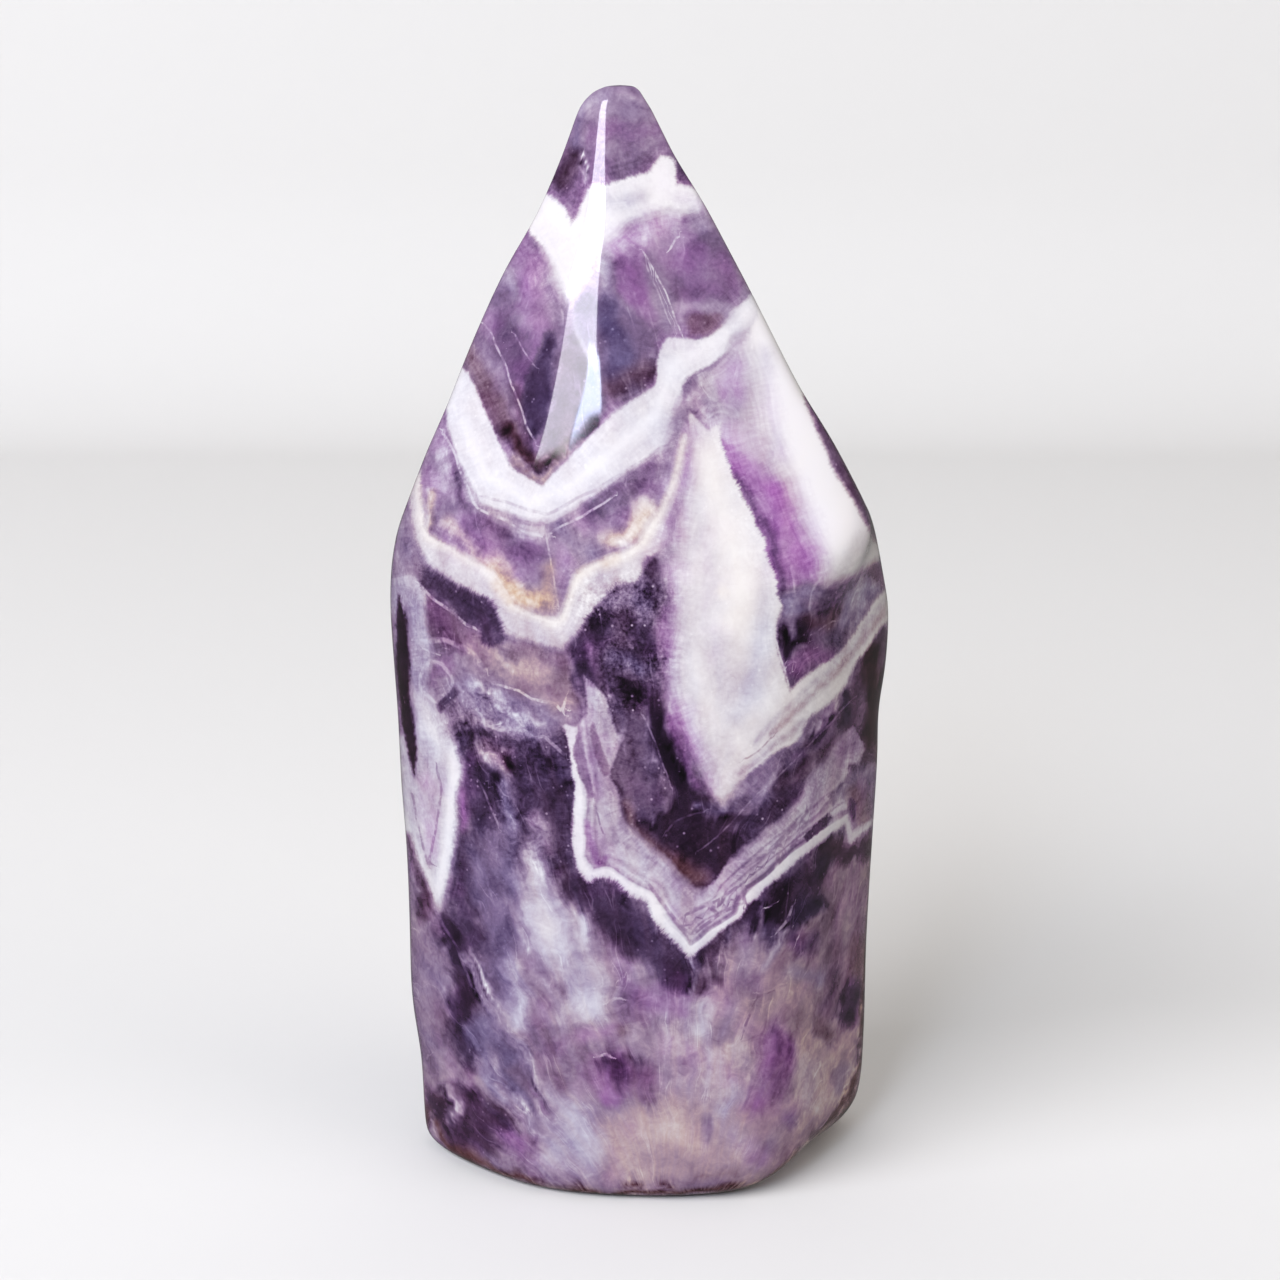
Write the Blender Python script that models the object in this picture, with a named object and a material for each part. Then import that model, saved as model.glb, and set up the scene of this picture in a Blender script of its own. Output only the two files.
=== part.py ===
"""A polished chevron amethyst point: one piece of banded quartz, cut flat at the foot and ground to a blunt tip.

Units are metres, +Z is up, and the origin is the middle of the flat foot that the stone stands on.
The stone is one closed skin, drawn through level rings. Each ring is a soft-cornered polygon of ground
faces, and it is stretched to the stone's left, right, front and back outlines at its height.
The front of the stone faces -Y, and a bearing is counted from the front round towards the right, +X.
Rings have more points near the narrow face that runs down the front of the point, which is crisp.
"""

import bisect
import math

import bmesh
import bpy

MM = 0.001

# Driving sizes, in millimetres
HEIGHT = 95.0
SHOULDER = 54.0
TIP_BEND = 92.8
TIP_TOP = 94.9
TIP_X = -1.65
TIP_Y = 0.1
FOOT_ROUNDING = 2.4
WORN_ROUNDING = 6.2
WORN_BEARING = 74

# Outlines as (height, distance from the axis), in millimetres
LEFT_OUTLINE = (
    (0, 19.6), (4, 19.7), (8, 19.85), (11, 20.25), (14, 20.65), (22, 20.75), (28, 20.9), (34, 21.25),
    (40, 21.4), (46, 21.7), (51, 21.85), (55, 21.45), (58, 20.75), (60, 19.95), (62.5, 19.0), (65, 18.0),
    (68, 16.6), (72, 15.0), (76, 13.25), (80, 11.3), (84, 8.9), (87, 7.5), (90, 6.25), (TIP_BEND, 5.25),
    (93.6, 4.75), (94.2, 4.2), (94.6, 3.6), (TIP_TOP, 2.8),
)
RIGHT_OUTLINE = (
    (0, 20.0), (4, 20.3), (8, 20.45), (12, 20.55), (18, 20.6), (24, 20.85), (30, 21.15), (36, 21.4),
    (40, 21.35), (44, 21.9), (50, 22.0), (52.4, 21.4), (55, 20.9), (57.7, 20.2), (60, 19.35), (63, 17.9),
    (66.5, 16.0), (70, 13.75), (74, 11.6), (78, 9.5), (82, 7.3), (86, 5.05), (89, 3.05), (TIP_BEND, 1.1),
    (93.6, 0.6), (94.2, 0.2), (94.6, -0.05), (TIP_TOP, -0.5),
)
FRONT_OUTLINE = (
    (0, 14.4), (12, 14.9), (30, 15.5), (46, 15.8), (52, 15.6), (58, 14.7), (64, 13.0), (70, 11.0),
    (76, 8.75), (82, 6.35), (88, 3.75), (91, 2.4), (TIP_BEND, 1.7), (93.6, 1.4), (94.2, 1.15),
    (94.6, 0.9), (TIP_TOP, 0.6),
)
BACK_OUTLINE = (
    (0, 14.2), (12, 14.8), (28, 15.3), (44, 15.7), (50, 15.4), (56, 14.3), (62, 12.3), (72, 9.2),
    (80, 6.6), (88, 4.1), (TIP_BEND, 2.5), (93.6, 2.1), (94.2, 1.7), (94.6, 1.3), (TIP_TOP, 0.8),
)

# The ground faces by height, each as (bearing in degrees, reach): a face with a small reach is cut closer
# to the axis. The third is the narrow face down the front of the point. It is widest at the foot of the
# point and thins to the tip.
GROUND_FACES = (
    (50, ((240, 0.95), (-60, 0.93), (-17, 1.25), (-3, 1.0), (71, 0.79), (128, 0.96), (182, 1.0))),
    (63, ((256, 1.0), (-46, 1.0), (-9.5, 1.01), (17, 1.04), (95, 1.0), (138, 1.0), (198, 1.0))),
    (76, ((256, 1.0), (-48, 1.0), (-16, 1.09), (17, 1.0), (97, 1.0), (138, 1.0), (198, 1.0))),
    (HEIGHT, ((256, 1.0), (-50, 1.0), (-19, 1.14), (17, 1.0), (97, 1.0), (138, 1.0), (198, 1.0))),
)

# How crisp the corners between ground faces are, by height: about 4 is round, and 30 is nearly sharp
CORNER_CRISPNESS = ((0, 6.8), (30, 6.2), (50, 6.2), (58, 9.0), (66, 24.0), (74, 34.0), (HEIGHT, 34.0))

# Shallow hollows left by hand polishing: bearing in degrees, height, half width and depth in millimetres
POLISH_HOLLOWS = (
    (-62, 12, 8, 0.25),
    (-58, 40, 8, 0.22),
    (-30, 26, 11, 0.25),
    (20, 47, 10, 0.28),
    (48, 16, 10, 0.25),
    (132, 34, 12, 0.35),
    (175, 18, 12, 0.30),
    (205, 48, 11, 0.32),
    (238, 28, 10, 0.30),
    (30, 68, 7, 0.18),
    (165, 66, 8, 0.22),
)

POINTS_PER_RING = 84
CROWDED_BEARING = -14
CROWDING = 0.45
FOOT_STEPS = 5
BODY_STEP = 2.2
POINT_STEP = 1.8
TIP_STEPS = 6

STONE_COLOUR = (0.34, 0.22, 0.46, 1.0)


def along(outline, height):
    """The outline's distance at this height, on a smooth curve through its points."""
    heights = [point[0] for point in outline]
    height = min(max(height, heights[0]), heights[-1])
    low = min(max(bisect.bisect_right(heights, height) - 1, 0), len(outline) - 2)

    def slope(i):
        before, after = outline[max(i - 1, 0)], outline[min(i + 1, len(outline) - 1)]
        return (after[1] - before[1]) / (after[0] - before[0])

    (z0, v0), (z1, v1) = outline[low], outline[low + 1]
    span = z1 - z0
    t = (height - z0) / span
    lift = span * (t * (1 - t) ** 2 * slope(low) - t * t * (1 - t) * slope(low + 1))
    return v0 + (v1 - v0) * t * t * (3 - 2 * t) + lift


def blend(low, high, t):
    return low + (high - low) * t


def smooth_step(t):
    t = min(max(t, 0.0), 1.0)
    return t * t * (3 - 2 * t)


def ground_faces(height):
    """The bearing, in radians, and reach of each ground face at this height."""
    for (low, lower), (high, upper) in zip(GROUND_FACES, GROUND_FACES[1:]):
        if height <= high:
            break
    climb = smooth_step((height - low) / (high - low))
    for face, next_face in zip(lower, upper):
        bearing, reach = (blend(face[i], next_face[i], climb) for i in (0, 1))
        yield math.radians(bearing), reach


def ring_bearings():
    """Bearings of a ring's points, crowded together near the narrow front face."""
    crowd = math.radians(CROWDED_BEARING)
    for i in range(POINTS_PER_RING):
        turn = 2 * math.pi * i / POINTS_PER_RING
        yield crowd + turn - CROWDING * math.sin(turn)


def unit_ring(height):
    """Points of the soft-cornered polygon at this height, stretched to reach from -1 to 1 both ways."""
    faces = list(ground_faces(height))
    crispness = along(CORNER_CRISPNESS, height)
    ring = []
    for bearing in ring_bearings():
        facing = sum(max(0.0, math.cos(bearing - face) / reach) ** crispness for face, reach in faces)
        radius = facing ** (-1 / crispness)
        ring.append((radius * math.sin(bearing), -radius * math.cos(bearing)))
    lows = [min(point[axis] for point in ring) for axis in (0, 1)]
    highs = [max(point[axis] for point in ring) for axis in (0, 1)]
    return [
        tuple(2 * (point[axis] - lows[axis]) / (highs[axis] - lows[axis]) - 1 for axis in (0, 1))
        for point in ring
    ]


def hollow_depth(x, y, height):
    """How deep the polishing hollows are at a point of the skin."""
    bearing = math.atan2(x, -y)
    depth = 0.0
    for face, middle, half_width, deepest in POLISH_HOLLOWS:
        away = (bearing - math.radians(face) + math.pi) % (2 * math.pi) - math.pi
        across = away * math.hypot(x, y)
        depth += deepest * math.exp(-((across**2 + (height - middle) ** 2) / half_width**2))
    return depth


def skin_ring(height):
    """The stone's outline at this height, in millimetres, before its foot is rounded."""
    left, right = -along(LEFT_OUTLINE, height), along(RIGHT_OUTLINE, height)
    front, back = -along(FRONT_OUTLINE, height), along(BACK_OUTLINE, height)
    ring = []
    for across, deep in unit_ring(height):
        x = blend(left, right, (across + 1) / 2)
        y = blend(front, back, (deep + 1) / 2)
        inset = 1 - hollow_depth(x, y, height) / math.hypot(x, y)
        ring.append((x * inset, y * inset, height))
    return ring


def foot_rounding(x, y):
    """Radius of the foot's edge, which is worn rounder on the stone's right."""
    facing = max(0.0, math.cos(math.atan2(x, -y) - math.radians(WORN_BEARING)))
    return blend(FOOT_ROUNDING, WORN_ROUNDING, facing**3)


def foot_rings():
    """Rings of the rounded edge between the flat foot and the sides."""
    for step in range(FOOT_STEPS):
        angle = math.pi / 2 * step / FOOT_STEPS
        ring = []
        for x, y, _ in skin_ring(WORN_ROUNDING):
            rounding = foot_rounding(x, y)
            inset = 1 - rounding * (1 - math.sin(angle)) / math.hypot(x, y)
            ring.append((x * inset, y * inset, rounding * (1 - math.cos(angle))))
        yield ring


def ring_heights():
    """Heights of the rings from the foot's rounding to the top of the tip."""
    for low, high, step in ((WORN_ROUNDING, SHOULDER, BODY_STEP), (SHOULDER, TIP_BEND, POINT_STEP)):
        count = round((high - low) / step)
        for i in range(count):
            yield blend(low, high, i / count)
    for i in range(TIP_STEPS + 1):
        yield blend(TIP_BEND, TIP_TOP, math.sin(math.pi / 2 * i / TIP_STEPS))


def stone_mesh():
    """The whole skin: foot, sides and tip, closed by a fan at each end."""
    rings = [*foot_rings(), *(skin_ring(height) for height in ring_heights())]
    shape = bmesh.new()
    levels = [[shape.verts.new([value * MM for value in point]) for point in ring] for ring in rings]
    for lower, upper in zip(levels, levels[1:]):
        for i in range(POINTS_PER_RING):
            j = (i + 1) % POINTS_PER_RING
            shape.faces.new((lower[i], lower[j], upper[j], upper[i]))
    foot_middle = shape.verts.new((0, 0, 0))
    tip = shape.verts.new((TIP_X * MM, TIP_Y * MM, HEIGHT * MM))
    for i in range(POINTS_PER_RING):
        j = (i + 1) % POINTS_PER_RING
        shape.faces.new((levels[0][j], levels[0][i], foot_middle))
        shape.faces.new((levels[-1][i], levels[-1][j], tip))
    bmesh.ops.recalc_face_normals(shape, faces=shape.faces)
    mesh = bpy.data.meshes.new("amethyst_point")
    shape.to_mesh(mesh)
    shape.free()
    mesh.shade_smooth()
    return mesh


def stone_material():
    """Polished purple quartz."""
    material = bpy.data.materials.new("polished_amethyst")
    material.use_nodes = True
    surface = material.node_tree.nodes["Principled BSDF"]
    surface.inputs["Base Color"].default_value = STONE_COLOUR
    surface.inputs["Roughness"].default_value = 0.1
    surface.inputs["Metallic"].default_value = 0.0
    surface.inputs["IOR"].default_value = 1.544
    return material


def main():
    for obj in list(bpy.data.objects):
        bpy.data.objects.remove(obj)
    stone = bpy.data.objects.new("amethyst_point", stone_mesh())
    bpy.context.scene.collection.objects.link(stone)
    stone.data.materials.append(stone_material())


main()
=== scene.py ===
import functools
import itertools
import math

import bmesh
import bpy
import numpy as np
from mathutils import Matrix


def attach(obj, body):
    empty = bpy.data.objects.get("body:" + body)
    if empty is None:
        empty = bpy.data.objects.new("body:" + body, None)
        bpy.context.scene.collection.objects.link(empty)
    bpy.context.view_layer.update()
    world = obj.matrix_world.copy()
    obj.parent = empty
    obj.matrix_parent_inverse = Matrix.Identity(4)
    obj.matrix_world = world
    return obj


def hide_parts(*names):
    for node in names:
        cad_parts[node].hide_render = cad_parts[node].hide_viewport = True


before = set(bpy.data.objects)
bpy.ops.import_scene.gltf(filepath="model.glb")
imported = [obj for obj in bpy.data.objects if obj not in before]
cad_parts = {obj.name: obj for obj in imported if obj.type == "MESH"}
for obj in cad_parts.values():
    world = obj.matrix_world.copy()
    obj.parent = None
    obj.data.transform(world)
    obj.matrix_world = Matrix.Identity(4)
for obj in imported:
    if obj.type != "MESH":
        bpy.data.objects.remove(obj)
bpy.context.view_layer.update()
print("frame loaded")


def linearColour(hexCode):  # sRGB hex to the linear colour that Blender mixes
    channels = [int(hexCode[i:i + 2], 16) / 255 for i in (1, 3, 5)]
    return [c / 12.92 if c <= 0.04045 else ((c + 0.055) / 1.055) ** 2.4 for c in channels] + [1.0]


def addNode(tree, kind, settings=None, inputs=(), stops=()):
    # inputs are in the sockets' order, or by name; a node given as an input is linked by its first output
    node = tree.nodes.new("ShaderNode" + kind)
    for name, value in (settings or {}).items():
        setattr(node, name, value)
    for name, value in inputs.items() if isinstance(inputs, dict) else enumerate(inputs):
        if isinstance(value, bpy.types.Node):
            value = value.outputs[0]
        if isinstance(value, bpy.types.NodeSocket):
            tree.links.new(value, node.inputs[name])
        else:
            node.inputs[name].default_value = value
    if stops:  # a colour ramp's, as (position, colour)
        marks = node.color_ramp.elements
        marks[0].position, marks[1].position = stops[0][0], stops[-1][0]
        for position, _ in stops[1:-1]:
            marks.new(position)
        for mark, (_, colour) in zip(marks, stops):
            mark.color = colour
    return node


# Camera: a long lens, a little above the stone
cameraLook = {
    "lens": 90,
    "sensor": 36,
    "elevation": 14,  # degrees
    "distance": 0.2803,
    "aim": 0.04697,  # height looked at
    "seesFrom": 0.01,
    "seesTo": 20,
}


def makeCamera():
    data = bpy.data.cameras.new("camera")
    data.lens = cameraLook["lens"]
    data.sensor_width = cameraLook["sensor"]
    data.clip_start = cameraLook["seesFrom"]
    data.clip_end = cameraLook["seesTo"]
    camera = bpy.data.objects.new("camera", data)
    tilt = math.radians(cameraLook["elevation"])
    camera.location = (
        0,
        -cameraLook["distance"] * math.cos(tilt),
        cameraLook["aim"] + cameraLook["distance"] * math.sin(tilt),
    )
    camera.rotation_euler = (math.pi / 2 - tilt, 0, 0)
    bpy.context.scene.collection.objects.link(camera)
    bpy.context.scene.camera = camera


makeCamera()
print("camera set")

# Stage: a pale paper sweep, its bend showing as a faint change of tone behind the stone
sweepLook = {
    "colour": "#DAD8D5",
    "roughness": 0.9,
    "gloss": 0.2,
    "behind": 0.335,  # from the stone to the bend
    "bend": 0.05,
    "bendSteps": 12,
    "height": 1.6,
    "halfWidth": 2.2,
    "front": 2.2,
}


def selectEdge(thing, y):  # the floor's edge at this depth, and nothing else
    bpy.ops.mesh.select_all(action="DESELECT")
    shape = bmesh.from_edit_mesh(thing.data)
    for edge in shape.edges:
        if all(abs(corner.co.y - y) < 1e-4 and abs(corner.co.z) < 1e-4 for corner in edge.verts):
            edge.select_set(True)
    bmesh.update_edit_mesh(thing.data)


def makeSweep():
    look = sweepLook
    wall = look["behind"] + look["bend"]
    bpy.ops.object.select_all(action="DESELECT")
    bpy.ops.mesh.primitive_plane_add(size=1)
    sweep = bpy.context.object
    sweep.name = "paper_sweep"
    bpy.ops.object.mode_set(mode="EDIT")
    bpy.ops.mesh.select_mode(type="EDGE")
    bpy.ops.transform.resize(value=(2 * look["halfWidth"], look["front"] + wall, 1))
    bpy.ops.transform.translate(value=(0, (wall - look["front"]) / 2, 0))
    selectEdge(sweep, wall)  # the back edge is drawn up into the wall, and the fold is then rounded
    bpy.ops.mesh.extrude_region_move(TRANSFORM_OT_translate={"value": (0, 0, look["height"])})
    selectEdge(sweep, wall)
    bpy.ops.mesh.bevel(offset=look["bend"], segments=look["bendSteps"], affect="EDGES")
    bpy.ops.object.mode_set(mode="OBJECT")
    bpy.ops.object.shade_smooth()
    material = bpy.data.materials.new("matt_paper")  # uncoated paper, so it has hardly any gloss
    material.use_nodes = True
    paper = material.node_tree.nodes["Principled BSDF"]
    paper.inputs["Base Color"].default_value = linearColour(look["colour"])
    paper.inputs["Roughness"].default_value = look["roughness"]
    paper.inputs["Specular IOR Level"].default_value = look["gloss"]
    sweep.data.materials.append(material)
    sweep.visible_glossy = False  # the stone's gloss shows only the lamps


makeSweep()

# Lights: a window at the left, its dim lower panes, a broad soft light above, and an even room.
# Directions are in degrees, from the front round towards the right, and up.
lightLook = {
    "window": {"azimuth": -41, "elevation": 40.5, "distance": 1.1, "size": (0.90, 0.27), "power": 10.8,
               "tint": "#F4F6FF"},
    "sill": {"azimuth": -38.5, "elevation": 28.2, "distance": 1.1, "size": (0.58, 0.215), "power": 4.4,
             "tint": "#F0F0F2"},
    "gap": {"azimuth": -16.5, "elevation": 28.2, "distance": 1.1, "size": (0.19, 0.215), "power": 3.0,
            "tint": "#D6E6FF"},
    "overhead": {"azimuth": 40, "elevation": 62, "distance": 1.3, "size": (0.9, 0.9), "power": 3.1,
                 "tint": "#FFFDF8"},
    "fill": {"azimuth": 62, "elevation": 22, "distance": 1.4, "size": (1.0, 1.0), "power": 5.4,
             "tint": "#FFFAF5"},
}
unreflected = ("overhead", "fill")  # these light the stone, but leave no highlight on it
lampsAim = (0, 0, 0.05)
roomLight = ("#F4F2EE", 0.12)


def makeLights():
    for name, light in lightLook.items():
        data = bpy.data.lights.new(name, "AREA")
        data.shape = "RECTANGLE"
        data.size, data.size_y = light["size"]
        data.energy = light["power"]
        data.color = linearColour(light["tint"])[:3]
        lamp = bpy.data.objects.new(name, data)
        azimuth, elevation = math.radians(light["azimuth"]), math.radians(light["elevation"])
        away = np.array((
            math.sin(azimuth) * math.cos(elevation),
            -math.cos(azimuth) * math.cos(elevation),
            math.sin(elevation),
        ))
        lamp.location = np.array(lampsAim) + away * light["distance"]
        lamp.rotation_euler = (math.pi / 2 - elevation, 0, azimuth)
        lamp.visible_glossy = name not in unreflected
        bpy.context.scene.collection.objects.link(lamp)
    world = bpy.data.worlds.new("room")
    world.use_nodes = True
    room = world.node_tree.nodes["Background"]
    room.inputs["Color"].default_value = linearColour(roomLight[0])
    room.inputs["Strength"].default_value = roomLight[1]
    bpy.context.scene.world = world
    bpy.context.scene.view_settings.view_transform = "Standard"


makeLights()
print("stage and lights made")

stoneShape = {
    "mergeWithin": 1e-6,  # metres
    "quadAngle": 0.9,  # radians that two triangles may bend where they join into one four-sided face
    "smoothing": 2,  # levels, for a skin that is fine enough to carry the markings
}


def makeStone():
    bpy.ops.object.select_all(action="DESELECT")
    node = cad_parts["amethyst_point"]
    stone = node.copy()
    stone.data = node.data.copy()
    stone.name = "chevron_stone"
    bpy.context.scene.collection.objects.link(stone)
    stone.select_set(True)
    bpy.context.view_layer.objects.active = stone
    bpy.ops.object.mode_set(mode="EDIT")
    bpy.ops.mesh.select_all(action="SELECT")
    bpy.ops.mesh.remove_doubles(threshold=stoneShape["mergeWithin"])
    bpy.ops.mesh.tris_convert_to_quads(
        face_threshold=stoneShape["quadAngle"], shape_threshold=stoneShape["quadAngle"],
    )
    bpy.ops.object.mode_set(mode="OBJECT")
    rounding = stone.modifiers.new("rounding", "SUBSURF")
    rounding.levels = stoneShape["smoothing"]
    rounding.render_levels = stoneShape["smoothing"]
    bpy.ops.object.modifier_apply(modifier=rounding.name)
    bpy.ops.object.shade_smooth()
    return stone


stone = makeStone()
print("stone shaped:", len(stone.data.vertices), "points")

# Where a point of the skin falls on the plane of the markings, in millimetres. The markings are drawn as
# flat shapes (across, up) on a plane through the stone's middle, and each runs back through the stone
# along lines from one far point in front. Behind the outline they draw in, sink and wander, as growth
# layers do.
markingPlane = {
    "seenFrom": (0, -271.97, 114.78),
    "drawIn": 0.15,  # how far the pattern moves inwards behind the outline, as a share
    "sink": 4.5,  # and down, in millimetres
    "turnsAway": -0.02,  # a face counts as behind from here, as a cosine, and wholly so from the next two
    "drawnInBy": -0.25,
    "sunkBy": -0.75,
    "wander": 3.6,
    "wanderSize": 13.0,
    "wanderSeeds": (5, 9),
}


def cloudNoise(points, size, seed):  # smooth noise from -1 to 1, its clouds about size mm across
    cells = 32
    table = np.random.default_rng(seed).uniform(-1, 1, (cells, cells, cells))
    scaled = points / size
    cell = np.floor(scaled).astype(int)
    part = scaled - cell
    part = part * part * (3 - 2 * part)
    total = np.zeros(len(points))
    for corner in itertools.product((0, 1), repeat=3):
        weight = np.where(corner, part, 1 - part).prod(axis=1)
        index = (cell + np.array(corner)) % cells
        total += weight * table[index[:, 0], index[:, 1], index[:, 2]]
    return total


def smoothStep(low, high, value):
    t = np.clip((value - low) / (high - low), 0, 1)
    return t * t * (3 - 2 * t)


def readSkin(mesh):  # places in millimetres, and normals
    count = len(mesh.vertices)
    places = np.empty(count * 3)
    normals = np.empty(count * 3)
    mesh.vertices.foreach_get("co", places)
    mesh.vertices.foreach_get("normal", normals)
    return places.reshape(-1, 3) * 1000, normals.reshape(-1, 3)


def placeOnPlane(places, normals):
    look = markingPlane
    tilt = math.radians(cameraLook["elevation"])
    middle = cameraLook["aim"] * 1000
    distance = cameraLook["distance"] * 1000
    up = places[:, 1] * math.sin(tilt) + (places[:, 2] - middle) * math.cos(tilt)
    depth = distance + places[:, 1] * math.cos(tilt) - (places[:, 2] - middle) * math.sin(tilt)
    at = np.stack([places[:, 0], up], axis=1) * distance / depth[:, None]
    at[:, 1] += middle
    towards = np.array(look["seenFrom"]) - places
    towards /= np.linalg.norm(towards, axis=1)[:, None]
    facing = (normals * towards).sum(axis=1)
    hidden = 1 - smoothStep(look["sunkBy"], look["turnsAway"], facing)
    at[:, 0] *= 1 - look["drawIn"] * (1 - smoothStep(look["drawnInBy"], look["turnsAway"], facing))
    at[:, 1] += look["sink"] * hidden
    for axis, seed in enumerate(look["wanderSeeds"]):
        wander = cloudNoise(places, look["wanderSize"], seed)
        wander += 0.4 * cloudNoise(places, look["wanderSize"] / 3, seed + 1)
        at[:, axis] += hidden * look["wander"] * wander
    return at


# The narrow face swells a little and dips below, so that its highlight ends in a slant. In millimetres.
polishLook = {
    "bend": 0.13,
    "bendAt": (-3.6, 68.8),  # place in the markings' plane
    "slant": 0.75,
    "slantEnds": -10,  # across, where the slant levels off
    "swellHeight": 5,
    "dipBelow": 12.5,
    "faceMiddle": -4.5,
    "faceReach": 7,
    "wave": 0.006,  # hand polish is never quite flat
    "waveSize": 5.0,
    "waveSeed": 41,
}


def polishSkin(places, normals, at):
    look = polishLook
    across, up = look["bendAt"]
    above = at[:, 1] - up - look["slant"] * (np.clip(at[:, 0], look["slantEnds"], 0) - across)
    swell = np.exp(-(above / look["swellHeight"]) ** 2)
    swell -= np.exp(-((above + look["dipBelow"]) / look["swellHeight"]) ** 2)
    near = np.exp(-((at[:, 0] - look["faceMiddle"]) / look["faceReach"]) ** 2) * (normals[:, 1] < 0)
    lift = look["bend"] * swell * near
    lift += look["wave"] * cloudNoise(places, look["waveSize"], look["waveSeed"])
    stone.data.vertices.foreach_set("co", ((places + normals * lift[:, None]) / 1000).ravel())
    stone.data.update()


places, normals = readSkin(stone.data)
at = placeOnPlane(places, normals)
polishSkin(places, normals, at)


def measureLine(at, line, closed=False):
    # the distance to a line, which side of it, and how far along it the nearest point is
    best = np.full(len(at), 1e9)
    side = np.ones(len(at))
    along = np.zeros(len(at))
    inside = np.zeros(len(at), bool)
    run = 0.0
    points = list(line) + ([line[0]] if closed or len(line) == 1 else [])
    for start, end in zip(points, points[1:]):
        step = np.subtract(end, start)
        length = max(np.hypot(*step), 1e-6)
        gap = at - start
        part = np.clip(gap @ step / length**2, 0, 1)
        gap = gap - part[:, None] * step
        distance = np.hypot(gap[:, 0], gap[:, 1])
        nearer = distance < best
        best = np.where(nearer, distance, best)
        side = np.where(nearer, np.where(step[0] * gap[:, 1] - step[1] * gap[:, 0] < 0, -1, 1), side)
        along = np.where(nearer, run + part * length, along)
        run += length
        crossing = (start[1] > at[:, 1]) != (end[1] > at[:, 1])
        if step[1]:
            inside ^= crossing & (at[:, 0] < start[0] + step[0] * (at[:, 1] - start[1]) / step[1])
    if closed:
        side = np.where(inside, 1, -1)
    return best, side, along


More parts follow.
